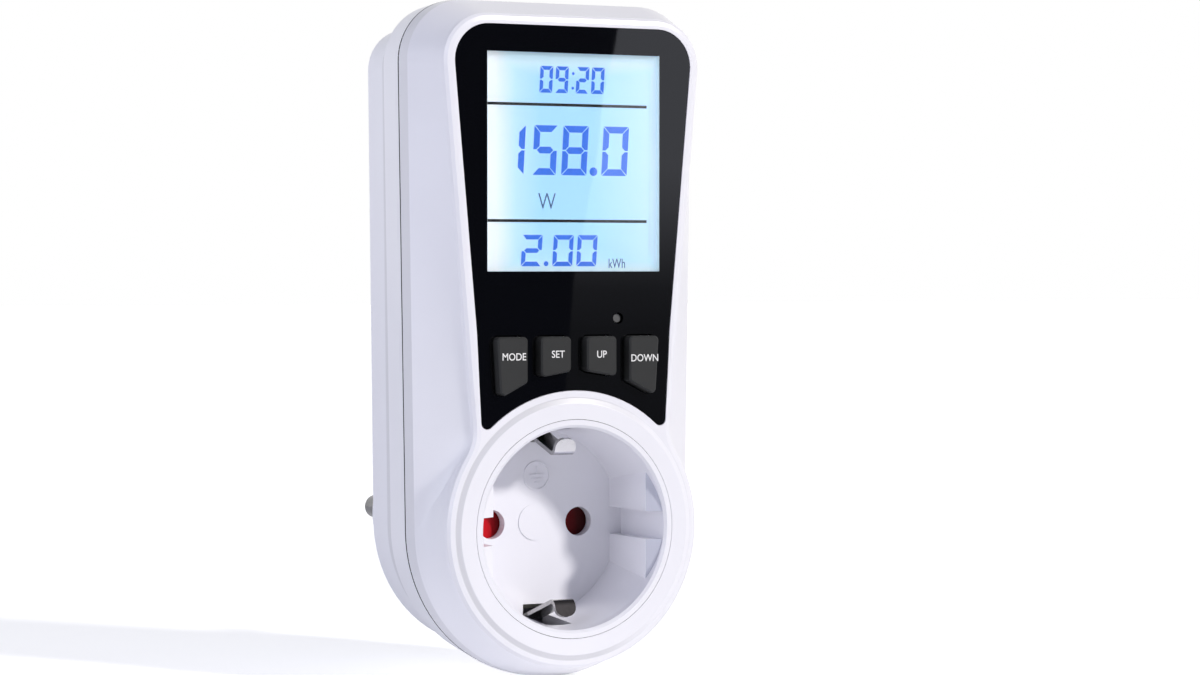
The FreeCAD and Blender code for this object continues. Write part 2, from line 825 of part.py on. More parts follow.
def key_centre(index):
    side = 1 if index > 1 else -1
    outer = index in (0, 3)
    return "%d * (key_start + key_width / 2 + %s)" % (side, "key_spacing" if outer else "0")


KEY_NAMES = ("func", "cost", "up", "down")
KEY_HEIGHT = "key_top - key_button_drop"
CENTRE = [("0", "0")]
PINS = [("-pin_half", "0"), ("pin_half", "0")]
HOUSING_SCREWS = [
    ("%s * boss_screw_%s_x" % (side, row), "boss_screw_%s_z" % row)
    for row in ("top", "low") for side in ("-1", "1")
]
CONTROL_POSTS = [("-control_post_x", "control_post_z"), ("control_post_top_x", "control_post_top_z")]
POWER_POSTS = [("-power_post_x", "power_post_low_z"), ("power_post_x", "power_post_top_z")]
CARRIER_SCREWS = [("carrier_screw_x", "-carrier_screw_z"), ("-carrier_screw_x", "carrier_screw_z")]
RETAINER_SCREWS = [("0", "retainer_screw_z"), ("0", "-retainer_screw_z")]


def circles(piece, level, spots, radius):
    """One sketch with a circle at each spot."""
    sketch = piece.sketch(level)
    for x, z in spots:
        draw_circle(sketch, x, z, radius)
    return sketch


def rectangles(piece, level, frames, radius=None):
    """One sketch with a rectangle for each (left, bottom, right, top)."""
    sketch = piece.sketch(level)
    for frame in frames:
        draw_rectangle(sketch, *frame, radius)
    return sketch


def outline(piece, level, *sizes, **more):
    sketch = piece.sketch(level)
    draw_housing(sketch, *sizes, **more)
    return sketch


def span(middle, width):
    """Both ends of a width about its middle."""
    return "(%s) - (%s) / 2" % (middle, width), "(%s) + (%s) / 2" % (middle, width)


def on_side(side, near, far):
    """Two distances from the middle, turned to one side and in rising order."""
    return (near, far) if side > 0 else (minus(far), minus(near))


def add(sizes, growth):
    return ["(%s) + %s" % (size, growth) for size in sizes]


def shrink(sizes, inset):
    return ["(%s) - %s" % (size, inset) for size in sizes]


def rounded_end(piece, level, side, radius, sizes, steps=(0, 45, 90), **more):
    """Outlines that step inwards round a quarter circle and end at a level; side 1 faces the front."""
    sketches = []
    for angle in steps:
        inset = "%s * (1 - cos(%d))" % (radius, angle)
        place = "%s - (%d) * %s * (1 - sin(%d))" % (level, side, radius, angle)
        bend = {}
        if more:
            bend["waist"] = "%s + %s" % (more["waist"], inset)
            bend["knee_half"] = "%s - %s" % (more["knee_half"], inset)
        sketches.append(outline(piece, place, *shrink(sizes, inset), **bend))
    return sketches


def between(low, high):
    """Formula for a size of the front cover's outside, at the level of its inner front face."""
    return "(%s) + ((%s) - (%s)) * taper_share" % (low, high, low)


# Housing

RIM = ("end_radius", "shoulder_half", "housing_top", "corner_radius")
FACE = ("front_end_radius", "front_half", "front_top", "front_corner")
PEDESTAL = ("pedestal_end_radius", "pedestal_half", "pedestal_top", "pedestal_corner")


def front_cover():
    """Front shell: upright lip at the parting line, flared sides, raised socket ring, screw bosses."""
    piece = Piece("front_cover")
    lip = shrink(RIM, "lip_draft")
    piece.loft(outline(piece, "rear_depth", *RIM), [outline(piece, "lip_level", *lip)])
    bend = {"waist": "waist_radius", "knee_half": "front_knee_half"}
    edge = rounded_end(piece, "front_level", 1, "front_round", FACE, (0, 30, 60, 90), **bend)
    piece.loft(outline(piece, "lip_level", *lip), edge)
    foot = circles(piece, "front_level", CENTRE, "ring_foot_radius")
    piece.loft(foot, [circles(piece, "ring_level", CENTRE, "ring_flat_radius")])
    hollow_cover(piece, lip)
    open_cover(piece)
    cover_bosses(piece)


def hollow_cover(piece, lip):
    """Inside of the front shell, with a little draft, and the rebate for the rear shell's tongue."""
    piece.pocket(outline(piece, "lip_level", *shrink(lip, "housing_wall")), "lip_depth")
    front = ["%s - housing_wall" % between(low, high) for low, high in zip(lip, FACE)]
    knee = between("lip_half_at_knee", "front_knee_half") + " - housing_wall"
    bend = "waist_radius + housing_wall"
    back = outline(piece, "lip_level", *add(front, "inner_draft"), waist=bend + " - inner_draft",
                   knee_half=knee + " + inner_draft")
    piece.loft(back, [outline(piece, "cover_inside", *front, waist=bend, knee_half=knee)], cut=True)
    rebate = add(shrink(RIM, "housing_wall"), "tongue_wall + fit_gap")
    piece.pocket(outline(piece, "rear_depth + tongue_height + fit_gap", *rebate), "tongue_height + fit_gap")


def open_cover(piece):
    """Seats of the socket cup and the fascia, and the openings for window, keys and reset."""
    piece.pocket(circles(piece, "ring_inside", CENTRE, "socket_flange_radius + fit_gap"),
                 "ring_inside - cover_inside")
    piece.pocket(circles(piece, "ring_level", CENTRE, "socket_rim_radius + fit_gap"),
                 "ring_level - cover_inside")
    fascia_seat = piece.sketch("front_level")
    draw_fascia(fascia_seat, "fit_gap")
    piece.pocket(fascia_seat, "front_level - fascia_back")
    half = "(glass_half + fit_gap)"
    glass = ("-" + half, "glass_bottom - fit_gap", half, "glass_top + fit_gap")
    piece.pocket(rectangles(piece, "fascia_back", [glass]), "cover_floor")
    holes = piece.sketch("fascia_back")
    for index in range(4):
        draw_polygon(holes, key_outline(index, "moving_gap"))
    draw_circle(holes, "reset_x", "reset_z", "reset_radius + moving_gap")
    piece.pocket(holes, "cover_floor")


def cover_bosses(piece):
    """Bosses that take the housing screws, and posts that carry the control board."""
    for level, spots in (("cover_inside", HOUSING_SCREWS[:2]), ("low_boss_level", HOUSING_SCREWS[2:])):
        piece.pad(circles(piece, level, spots, "screw_boss_radius"), "screw_boss_joint - %s" % level)
    piece.pocket(circles(piece, "screw_boss_joint", HOUSING_SCREWS, "screw_shank_radius + fit_gap"),
                 "screw_boss_joint - screw_tip_level - hole_end")
    piece.pad(circles(piece, "cover_inside", CONTROL_POSTS, "post_radius"),
              "control_board_level - cover_inside")
    piece.pocket(circles(piece, "control_board_level", CONTROL_POSTS, "small_shank_radius + fit_gap"),
                 "-small_length")


def rear_cover():
    """Rear shell: drafted band, step to a smaller pedestal, plug boss with guide and earth notches."""
    piece = Piece("rear_cover")
    step = shrink(RIM[:2], "step_draft") + ["housing_top - lip_draft", "corner_radius"]
    neck = add(PEDESTAL, "pedestal_draft")
    piece.loft(outline(piece, "rear_depth", *RIM),
               rounded_end(piece, "step_level", -1, "step_round", step, (0, 90)))
    piece.loft(outline(piece, "step_level", *neck), rounded_end(piece, "0", -1, "pedestal_round", PEDESTAL))
    inside = shrink(RIM, "housing_wall")
    shelf = "step_level + housing_wall"
    piece.loft(outline(piece, "rear_depth", *inside),
               [outline(piece, shelf, *shrink(step, "housing_wall"))], cut=True)
    piece.pocket(outline(piece, shelf, *shrink(PEDESTAL, "housing_wall")), "%s - back_wall" % shelf)
    seam = outline(piece, "rear_depth", *add(RIM, "overcut"))
    draw_housing(seam, *shrink(RIM, "seam_depth"))
    piece.pocket(seam, "seam_width")
    tongue = outline(piece, "rear_depth", *inside)
    draw_housing(tongue, *add(inside, "tongue_wall"))
    piece.pad(tongue, "tongue_height")
    plug_boss(piece)
    rear_posts(piece)


def plug_boss(piece):
    """Round boss of the plug with its guide notches, earth notches, strap slots and hollow."""
    piece.pad(circles(piece, "0", CENTRE, "boss_radius"), "-boss_length")
    piece.dress("Chamfer", on_level("-boss_length"), "boss_round")
    beyond = "boss_radius + overcut"
    notches, earth, slots, relief = [], [], [], []
    for side in (1, -1):
        left, right = on_side(side, "boss_flat", beyond)
        notches.append((left, "boss_tongue_half", right, "boss_flat"))
        notches.append((left, "-boss_flat", right, "-boss_tongue_half"))
        low, high = on_side(side, "boss_earth_floor", beyond)
        earth.append(("-boss_earth_half", low, "boss_earth_half", high))
        half, outer = "(strap_width / 2 + fit_gap)", "boss_earth_floor + strap_thickness + fit_gap"
        low, high = on_side(side, "boss_earth_floor", outer)
        slots.append(("-" + half, low, half, high))
        low, high = on_side(side, "boss_earth_floor - strap_bend", outer)
        relief.append(("-" + half, low, half, high))
    piece.pocket(rectangles(piece, "0", notches), "boss_length")
    piece.pocket(rectangles(piece, "0", earth), "boss_length")
    hollow = ("-boss_cavity_half", "-boss_cavity_height", "boss_cavity_half", "boss_cavity_height")
    piece.pocket(rectangles(piece, "back_wall", [hollow], "boss_cavity_corner"), "back_wall - boss_inside")
    piece.pocket(rectangles(piece, "back_wall", slots), "back_wall")
    piece.pocket(rectangles(piece, "back_wall", relief), "strap_bend")
    piece.pocket(circles(piece, "boss_inside", PINS, "pin_root_radius + fit_gap"), "boss_end_wall")


def rear_posts(piece):
    """Posts for the pin retainer and the power board, and the wells of the housing screws."""
    piece.pad(circles(piece, "boss_inside", RETAINER_SCREWS, "post_radius"), "pin_collar")
    piece.pocket(circles(piece, "collar_back", RETAINER_SCREWS, "small_shank_radius + fit_gap"),
                 "pin_collar + hole_end")
    well = "screw_head_radius + screw_clearance"
    piece.pad(circles(piece, "back_wall", HOUSING_SCREWS, well + " + screw_well_wall"),
              "screw_boss_joint - fit_gap - back_wall")
    piece.pocket(circles(piece, "screw_seat_level", HOUSING_SCREWS, well), "screw_seat_level")
    piece.pocket(circles(piece, "screw_boss_joint", HOUSING_SCREWS, "screw_shank_radius + screw_clearance"),
                 "screw_boss_joint - screw_seat_level")
    piece.pad(circles(piece, "back_wall", POWER_POSTS, "post_radius"), "power_board_back - back_wall")
    piece.pocket(circles(piece, "power_board_back", POWER_POSTS, "small_shank_radius + fit_gap"),
                 "small_length - hole_end")


# Display and keys

def fascia_panel():
    """Glossy black panel with the openings for the window, the keys and the reset hole."""
    piece = Piece("fascia_panel")
    sheet_outline = piece.sketch("fascia_back")
    draw_fascia(sheet_outline, "0")
    piece.pad(sheet_outline, "fascia_thickness")
    holes = piece.sketch("fascia_level")
    draw_rectangle(holes, "-window_half", "window_bottom", "window_half", "window_top")
    for index in range(4):
        draw_polygon(holes, key_outline(index, "moving_gap"), "key_corner + moving_gap")
    draw_circle(holes, "reset_x", "reset_z", "reset_hole_radius")
    piece.pocket(holes, "fascia_thickness")


def slab(label, left, bottom, right, top, low, high, radius=None):
    """A piece padded from one rectangle between two levels."""
    piece = Piece(label)
    piece.pad(rectangles(piece, low, [(left, bottom, right, top)], radius), "(%s) - (%s)" % (high, low))
    return piece


def display():
    """Window, two-plate liquid crystal cell, light guide with its lamp, frame and contact strip."""
    slab("display_window", "-window_half", "window_bottom", "window_half", "window_top",
         "fascia_level - window_thickness", "fascia_level")
    cell = slab("lcd_panel", "-glass_half", "glass_bottom", "glass_half", "glass_top",
                "glass_level - glass_thickness", "glass_level")
    rear_plate = ("-glass_half", "glass_bottom + ledge_height", "glass_half", "glass_top")
    cell.pad(rectangles(cell, "glass_back", [rear_plate]), "glass_thickness")
    slab("backlight_guide", "-window_half", "window_bottom", "window_half", "window_top - lamp_strip",
         "guide_back", "guide_back + guide_thickness")
    lamp_low = "window_top - lamp_strip + fit_gap"
    slab("backlight_led", "-lamp_half", lamp_low, "lamp_half", lamp_low + " + lamp_height",
         "guide_back + lamp_lift", "guide_back + lamp_lift + lamp_depth")
    display_frame()
    strip_low = "glass_bottom + zebra_setback"
    slab("zebra_connector", "-window_half", strip_low, "window_half", strip_low + " + zebra_thickness",
         "control_board_level", "glass_level - glass_thickness")


def display_frame():
    """Frame that holds the glass, the light guide and the contact strip over the board."""
    frame = slab("lcd_frame", "-frame_half", "frame_bottom", "frame_half", "frame_top",
                 "control_board_level", "glass_back - fit_gap")
    half = "(window_half + fit_gap)"
    seat = ("-" + half, "window_bottom - fit_gap", half, "window_top + fit_gap")
    frame.pocket(rectangles(frame, "glass_back", [seat]), "glass_back - guide_back")
    ledge = "(window_half - frame_ledge)"
    through = ("-" + ledge, "window_bottom + frame_ledge", ledge, "window_top - frame_ledge")
    frame.pocket(rectangles(frame, "guide_back", [through]), "guide_back - control_board_level")
    groove = ("-" + half, "glass_bottom + zebra_setback - fit_gap", half,
              "glass_bottom + zebra_setback + zebra_thickness + fit_gap")
    frame.pocket(rectangles(frame, "glass_back", [groove]), "glass_back - control_board_level")


def key(index):
    """Key cap: bevelled face, retaining flange behind the cover, hollow inside with a centre stem."""
    piece = Piece("key_" + KEY_NAMES[index])
    flange = piece.sketch("flange_back")
    draw_polygon(flange, key_outline(index, "key_flange"))
    piece.pad(flange, "key_flange")
    cap = piece.sketch("flange_back")
    draw_polygon(cap, key_outline(index), "key_corner")
    piece.pad(cap, "key_face - flange_back")
    piece.dress("Chamfer", on_level("key_face"), "key_bevel")
    hollow = piece.sketch("key_face - key_wall")
    draw_polygon(hollow, key_outline(index, "-key_wall"))
    piece.pocket(hollow, "key_face - key_wall - flange_back")
    left, right = span(key_centre(index), "key_stem")
    low, high = span(KEY_HEIGHT, "key_stem")
    stem = rectangles(piece, "button_level", [(left, low, right, high)])
    piece.pad(stem, "key_face - key_wall - button_level")


def tact_switch(label, plunger_label, x, z, top, radius):
    """Key switch: square case on the control board, and the round plunger that stands out of it."""
    left, right = span(x, "switch_side")
    low, high = span(z, "switch_side")
    case_top = "control_board_level + switch_height"
    case = slab(label, left, low, right, high, "control_board_level", case_top)
    case.pocket(circles(case, case_top, [(x, z)], "switch_button_radius + moving_gap"),
                "key_travel + moving_gap")
    plunger = Piece(plunger_label)
    base = circles(plunger, case_top + " - fit_gap / 2", [(x, z)], "switch_button_radius")
    plunger.pad(base, "switch_button_rise + fit_gap / 2")
    if radius is not None:
        tip = circles(plunger, "button_level", [(x, z)], radius)
        plunger.pad(tip, "%s - button_level" % top)


# Boards

def boards():
    """Control board with its chip, crystal and battery; power board with its parts; the link between."""
    board = slab("control_board", "-control_board_half", "control_board_bottom", "control_board_half",
                 "control_board_top", "board_back", "control_board_level")
    board.pocket(circles(board, "control_board_level", CONTROL_POSTS, "small_shank_radius + screw_clearance"),
                 "board_thickness")
    back_part("display_driver_chip", "driver_chip", "chip_height")
    back_part("quartz_crystal", "crystal", "crystal_width", "crystal_width / 2 - fit_gap")
    lying_cylinder("backup_battery", "battery", "board_back - battery_radius")
    power_board()
    power_parts()
    board_link()


def back_part(label, name, height, radius=None):
    """Flat part on the back of the control board."""
    left, right = span(name + "_x", name + "_width")
    low, high = span(name + "_z", name + "_length")
    slab(label, left, low, right, high, "board_back - " + height, "board_back", radius)


def lying_cylinder(label, name, level):
    """Round part that lies across a board."""
    piece = Piece(label)
    profile = piece.sketch("-%s_length / 2" % name, plane="YZ_Plane")
    draw_circle(profile, minus(level), name + "_z", name + "_radius")
    piece.pad(profile, name + "_length")


def power_board():
    """Power board with slots for the three current bars."""
    board = slab("power_board", "-power_board_half", "power_board_bottom", "power_board_half",
                 "power_board_top", "power_board_back", "power_board_level")
    board.pocket(circles(board, "power_board_level", POWER_POSTS, "small_shank_radius + screw_clearance"),
                 "board_thickness")
    slots = []
    for side, top in (("-1", "inlet_bar_top"), ("-1", "outlet_bar_top"), ("1", "inlet_bar_top")):
        left, right = span("%s * pin_half" % side, "bar_width + 2 * fit_gap")
        low, high = span(top, "bar_thickness + 2 * fit_gap")
        slots.append((left, low, right, high))
    board.pocket(rectangles(board, "power_board_level", slots), "board_thickness")


def power_parts():
    """Capacitors, surge absorber, fuse and metering chip on the front of the power board."""
    left, right = span("0", "film_cap_width")
    low, high = span("film_cap_z", "film_cap_thickness")
    film = slab("film_capacitor", left, low, right, high, "power_board_level",
                "power_board_level + film_cap_height")
    film.dress("Chamfer", along_depth, "film_cap_thickness / 9")
    can = Piece("electrolytic_capacitor")
    can.pad(circles(can, "power_board_level", [("can_x", "can_z")], "can_radius"), "can_height")
    disc = Piece("varistor")
    face = disc.sketch("varistor_x - varistor_thickness / 2", plane="YZ_Plane")
    draw_circle(face, "-(power_board_level + lead_length + varistor_radius)", "varistor_z", "varistor_radius")
    disc.pad(face, "varistor_thickness")
    leads = [("varistor_x", "varistor_z %s varistor_radius / 2" % sign) for sign in ("-", "+")]
    disc.pad(circles(disc, "power_board_level", leads, "lead_radius"), "lead_length + varistor_radius / 2")
    fuse_body = Piece("fuse_resistor")
    barrel = fuse_body.sketch("fuse_z - fuse_length / 2", plane="XY_Plane")
    draw_circle(barrel, "fuse_x", "-(power_board_level + fuse_radius)", "fuse_radius")
    fuse_body.pad(barrel, "fuse_length")
    left, right = span("meter_chip_x", "meter_chip_width")
    low, high = span("meter_chip_z", "meter_chip_length")
    slab("metering_chip", left, low, right, high, "power_board_level", "power_board_level + chip_height")


def board_link():
    """Pin header that joins the two boards: a long body with five square pins through it."""
    low, high = "power_board_level", "board_back"
    left, right = span("link_x", "5 * link_pitch")
    bottom, top = span("link_z", "link_pitch")
    parts = [add_box("link_body", left, right, low + " + link_lift", high + " - link_lift", bottom, top)]
    for index in range(5):
        left, right = span("link_x + %d * link_pitch" % (index - 2), "link_pin")
        bottom, top = span("link_z", "link_pin")
        parts.append(add_box("link_pin_%d" % index, left, right, low, high, bottom, top))
    link = fuse("board_link", parts)
    link.Label = "board_link"
    nodes["board_link"] = link


# Socket

def socket_insert():
    """Cup of the socket: rim, recess with guide ribs, floor with pin holes, slots for the earth clips."""
    piece = Piece("socket_insert")
    profile = piece.sketch("0", plane="XY_Plane")
    flange_front = "ring_inside - fit_gap"
    flange_back = flange_front + " - socket_flange"
    corners = [
        ("0", "-ring_level"), ("0", "-floor_back"), ("socket_wall_radius", "-floor_back"),
        ("socket_wall_radius", minus(flange_back)), ("socket_flange_radius", minus(flange_back)),
        ("socket_flange_radius", minus(flange_front)), ("socket_rim_radius", minus(flange_front)),
        ("socket_rim_radius", "-ring_level"),
    ]
    draw_polygon(profile, corners)
    piece.revolve(profile)
    piece.pocket(circles(piece, "ring_level", CENTRE, "recess_radius"), "guide_setback")
    mouth = circles(piece, "guide_level", CENTRE, "recess_radius")
    piece.loft(mouth, [circles(piece, "floor_level", CENTRE, "recess_floor_radius")], cut=True)
    piece.dress("Chamfer", on_level("ring_level", inside=number("recess_radius") + TINY), "rim_round")
    guide_ribs(piece)
    piece.pocket(circles(piece, "floor_level", PINS, "pin_hole_radius"), "socket_floor")
    slots = []
    for side in (1, -1):
        low, high = on_side(side, "clip_slot_inner", "socket_wall_radius + overcut")
        slots.append(("-clip_slot_half", low, "clip_slot_half", high))
    piece.pocket(rectangles(piece, "clip_slot_level", slots), "clip_slot_level - floor_back")
    piece.pad(circles(piece, "floor_back", CARRIER_SCREWS, "post_radius"), "carrier_front - floor_back")
    piece.pocket(circles(piece, "carrier_front", CARRIER_SCREWS, "small_shank_radius + fit_gap"),
                 "carrier_front - floor_back - hole_end")


def guide_ribs(piece):
    """Two upright ribs at each side of the recess, with a notch between them for the plug's tongue."""
    ribs = piece.sketch("floor_level - socket_floor / 2")
    foot_x = "sqrt(guide_root ^ 2 - notch_half_height ^ 2)"
    tip_x = "sqrt(guide_root ^ 2 - guide_height ^ 2)"
    rib = [("guide_half", "notch_half_height"), (foot_x, "notch_half_height"), (tip_x, "guide_height"),
           ("guide_half", "guide_height")]
    draw_polygon(ribs, rib)
    draw_polygon(ribs, [(minus(x), z) for x, z in reversed(rib)])
    draw_polygon(ribs, [(x, minus(z)) for x, z in reversed(rib)])
    draw_polygon(ribs, [(minus(x), minus(z)) for x, z in rib])
    piece.pad(ribs, "guide_level - floor_level + socket_floor / 2")
    notches = []
    for side in (1, -1):
        left, right = on_side(side, "guide_half", "notch_half")
        notches.append((left, "-notch_half_height", right, "notch_half_height"))
    piece.pocket(rectangles(piece, "guide_level", notches), "guide_level - floor_level")


def shutter():
    """Red child-safety shutter: a hub with two wings that close both pin holes at once."""
    piece = Piece("shutter")
    wings = piece.sketch("shutter_back")
    draw_shutter(wings)
    piece.pad(wings, "shutter_thickness")
    piece.pocket(circles(piece, "shutter_front", CENTRE, "shutter_pivot_radius + moving_gap"),
                 "shutter_thickness")


def draw_shutter(sketch):
    """Outline of the hub and its two wings: arcs about the axis joined by radial edges."""
    drawing = Drawing(sketch)
    hub, tip = number("shutter_hub_radius"), number("shutter_outer")
    half = math.radians(number("shutter_cover_angle"))

    def polar(radius, angle):
        return (radius * math.cos(angle), radius * math.sin(angle))

    angles = (-half, half, math.pi - half, math.pi + half)
    tips = [drawing.add(arc((0, 0), polar(tip, angles[k]), polar(tip, angles[k + 1]))) for k in (0, 2)]
    hubs = [drawing.add(arc((0, 0), polar(hub, angles[1]), polar(hub, angles[2]))),
            drawing.add(arc((0, 0), polar(hub, angles[3]), polar(hub, angles[0] + 2 * math.pi)))]
    for item, radius in [(tips[0], "shutter_outer"), (tips[1], "shutter_outer"),
                         (hubs[0], "shutter_hub_radius"), (hubs[1], "shutter_hub_radius")]:
        drawing.rule("Coincident", item, POINT_CENTRE, ORIGIN, 1)
        drawing.radius(item, radius)
    order = [(tips[0], POINT_END, hubs[0], POINT_START), (tips[1], POINT_START, hubs[0], POINT_END),
             (tips[1], POINT_END, hubs[1], POINT_START), (tips[0], POINT_START, hubs[1], POINT_END)]
    reach = "shutter_outer * sin(shutter_cover_angle)"
    for index, (wing, wing_end, centre, centre_end) in enumerate(order):
        turn = angles[(index + 1) % 4]
        edge = drawing.add(line(polar(tip, turn), polar(hub, turn)))
        drawing.rule("Coincident", edge, POINT_START, wing, wing_end)
        drawing.rule("Coincident", edge, POINT_END, centre, centre_end)
        drawing.rule("PointOnObject", ORIGIN, 1, edge)
        height = reach if index < 2 else minus(reach)
        drawing.rule("DistanceY", ORIGIN, 1, edge, POINT_START, number(height), formula=height)
    drawing.close()


def contact_carrier():
    """Carrier behind the cup: front wall with pin holes, pockets for the contacts, shutter pivot."""
    piece = Piece("contact_carrier")
    piece.pad(circles(piece, "carrier_back", CENTRE, "carrier_radius"), "carrier_front - carrier_back")
    pockets, channels = [], []
    for side in (1, -1):
        left, right = on_side(side, "pocket_inner", "pocket_outer")
        pockets.append((left, "-pocket_half_height", right, "pocket_half_height"))
        left, right = span("%d * pin_half" % side, "bar_width + 2 * fit_gap")
        channels.append((left, "pocket_half_height - fit_gap", right, "carrier_radius + overcut"))
    wall_back = "carrier_front - carrier_front_wall"
    piece.pocket(rectangles(piece, "carrier_back", pockets), "carrier_back - (%s)" % wall_back)
    piece.pocket(rectangles(piece, "carrier_back", channels), "carrier_back - contact_back")
    piece.pocket(circles(piece, "carrier_front", PINS, "pin_hole_radius"), "carrier_front_wall")
    piece.pad(circles(piece, "carrier_front", CENTRE, "shutter_pivot_radius"),
              "floor_back - fit_gap - carrier_front")
    piece.pocket(circles(piece, "carrier_front", CARRIER_SCREWS, "small_shank_radius + screw_clearance"),
                 "carrier_front - carrier_back")
    piece.pocket(circles(piece, "carrier_back", CARRIER_SCREWS, "small_head_radius + screw_clearance"),
                 "carrier_back - (%s)" % wall_back)


def contact(label, side):
    """Socket contact: a clip bent to a C that grips the pin between its two leaves."""
    piece = Piece(label)
    profile = piece.sketch("contact_back")
    grip = "pin_radius + fit_gap"
    mouth, leaf, bend = "contact_inner", "contact_inner + contact_flare", "contact_outer - contact_bend"
    height = "pocket_half_height - contact_play"
    inner = [(mouth, grip + " + contact_lead_in"), (leaf, grip), (bend, grip),
             ("contact_outer - contact_thickness", height + " - contact_thickness")]
    outer = [("contact_outer", height), (bend, grip + " + contact_thickness"),
             (leaf, grip + " + contact_thickness"), (mouth, grip + " + contact_lead_in + contact_thickness")]
    points = inner + [(x, minus(z)) for x, z in reversed(inner)]
    points += [(x, minus(z)) for x, z in reversed(outer)] + outer
    if side < 0:
        points = [(minus(x), z) for x, z in points]
    draw_polygon(profile, points)
    piece.pad(profile, "contact_length")


def shutter_spring():
    """Leaf spring that pushes the shutter shut, from a foot on the carrier to the shutter's wing."""
    piece = Piece("shutter_spring")
    level = "shutter_back + spring_lift"
    profile = piece.sketch(level)
    wing_x = "shutter_outer * cos(shutter_cover_angle) - spring_reach"
    wing_z = "-shutter_outer * sin(shutter_cover_angle) - spring_offset"
    low = " - spring_thickness"
    points = [("spring_foot_x", "spring_foot_z"), ("spring_bend_x", "spring_bend_z"), (wing_x, wing_z),
              (wing_x + " + spring_thickness", wing_z + low), ("spring_bend_x", "spring_bend_z" + low),
              ("spring_foot_x", "spring_foot_z" + low)]
    draw_polygon(profile, points)
    piece.pad(profile, "spring_width")
    foot = ("spring_foot_x - spring_foot / 4", "spring_foot_z - spring_foot / 2",
            "spring_foot_x + spring_foot * 3 / 4", "spring_foot_z")
    piece.pad(rectangles(piece, "carrier_front", [foot]), level + " + spring_width - carrier_front")


# Earth straps and bars

def earth_parts():
    """Stirrup with the two sprung clips of the socket, and the strap along the plug boss."""
    half = "strap_thickness / 2"
    floor = "strap_level + " + half
    clip = [("clip_tip_level", "clip_tip_height"), ("clip_apex_level", "clip_apex_height"),
            ("clip_root_level", "clip_root_height"), ("carrier_front", "strap_side"), (floor, "strap_side")]
    lower = [(level, minus(z)) for level, z in reversed(clip)]
    bent_strip("socket_earth_strap", clip + lower, "strap", "0")
    seat = "back_wall + " + half
    leg = "boss_earth_floor + %s + fit_gap / 2" % half
    plug_leg = [("plug_strap_end - boss_length", leg), (seat, leg)]
    lower = [(level, minus(z)) for level, z in reversed(plug_leg)]
    bent_strip("plug_earth_strap", plug_leg + lower, "strap", "0")


def bent_strip(label, corners, kind, x):
    """Strip of bent metal, padded from its side profile to its width about x."""
    piece = Piece(label)
    profile = piece.sketch(span(x, kind + "_width")[0], plane="YZ_Plane")
    draw_band(profile, corners, kind + "_thickness", kind + "_bend")
    piece.pad(profile, kind + "_width")
    return piece


def offset_corner(spots, index, distance):
    """Corner of a line kept at a signed distance beside a run of points."""
    def normal(a, b):
        length = math.dist(a, b)
        return (-(b[1] - a[1]) / length, (b[0] - a[0]) / length)
    here = spots[index]
    before = normal(spots[index - 1], here) if index > 0 else None
    after = normal(here, spots[index + 1]) if index < len(spots) - 1 else None
    if before is None or after is None:
        side = after or before
        return (here[0] + side[0] * distance, here[1] + side[1] * distance)
    bisector = (before[0] + after[0], before[1] + after[1])
    scale = distance / (1 + before[0] * after[0] + before[1] * after[1])
    return (here[0] + bisector[0] * scale, here[1] + bisector[1] * scale)


def draw_band_face(drawing, spots, half, side, middle):
    """One face of a bent strip: straight runs joined by arcs, beside the strip's middle line."""
    points = [offset_corner(spots, index, half * side) for index in range(len(spots))]
    runs, bends, previous = [], [], points[0]
    for index in range(1, len(spots) - 1):
        turns_right = corner_cut(*spots[index - 1:index + 2], middle)[3]
        radius = middle + half * side if turns_right else middle - half * side
        first, last, centre, clockwise = corner_cut(*points[index - 1:index + 2], radius)
        runs.append(drawing.add(line(previous, first)))
        bends.append((drawing.add(arc(centre, first, last, clockwise)), clockwise))
        previous = last
    runs.append(drawing.add(line(previous, points[-1])))
    for index, (item, clockwise) in enumerate(bends):
        ends = (POINT_END, POINT_START) if clockwise else (POINT_START, POINT_END)
        drawing.rule("Tangent", runs[index], POINT_END, item, ends[0])
        drawing.rule("Tangent", runs[index + 1], POINT_START, item, ends[1])
    return runs, bends


def draw_band(sketch, corners, thickness, bend):
    """Closed outline of a bent strip: both faces run beside its middle line and its bends are concentric."""
    drawing = Drawing(sketch)
    formulas = [(minus(level), z) for level, z in corners]
    spots = [(number(x), number(z)) for x, z in formulas]
    sides = [draw_band_face(drawing, spots, number(thickness) / 2, side, number(bend)) for side in (1, -1)]
    (left, left_bends), (right, right_bends) = sides
    centre = []
    for index in range(len(spots) - 1):
        centre.append(drawing.add(line(spots[index], spots[index + 1]), True))
        if index:
            drawing.rule("Coincident", centre[index - 1], POINT_END, centre[index], POINT_START)
        drawing.place(centre[index], POINT_START, *formulas[index])
    drawing.place(centre[-1], POINT_END, *formulas[-1])
    for end, point in ((0, POINT_START), (-1, POINT_END)):
        cap = drawing.add(line(drawing.spot(left[end], point), drawing.spot(right[end], point)))
        drawing.rule("Coincident", cap, POINT_START, left[end], point)
        drawing.rule("Coincident", cap, POINT_END, right[end], point)
        drawing.rule("Perpendicular", cap, left[end])
        drawing.rule("Symmetric", left[end], point, right[end], point, centre[end], point)
    for first, second, middle in zip(left, right, centre):
        drawing.rule("Parallel", first, middle)
        drawing.rule("Parallel", second, middle)
    for (first, clockwise), (second, _) in zip(left_bends, right_bends):
        drawing.rule("Coincident", first, POINT_CENTRE, second, POINT_CENTRE)
        drawing.radius(first, "%s %s %s / 2" % (bend, "+" if clockwise else "-", thickness))
    drawing.close()


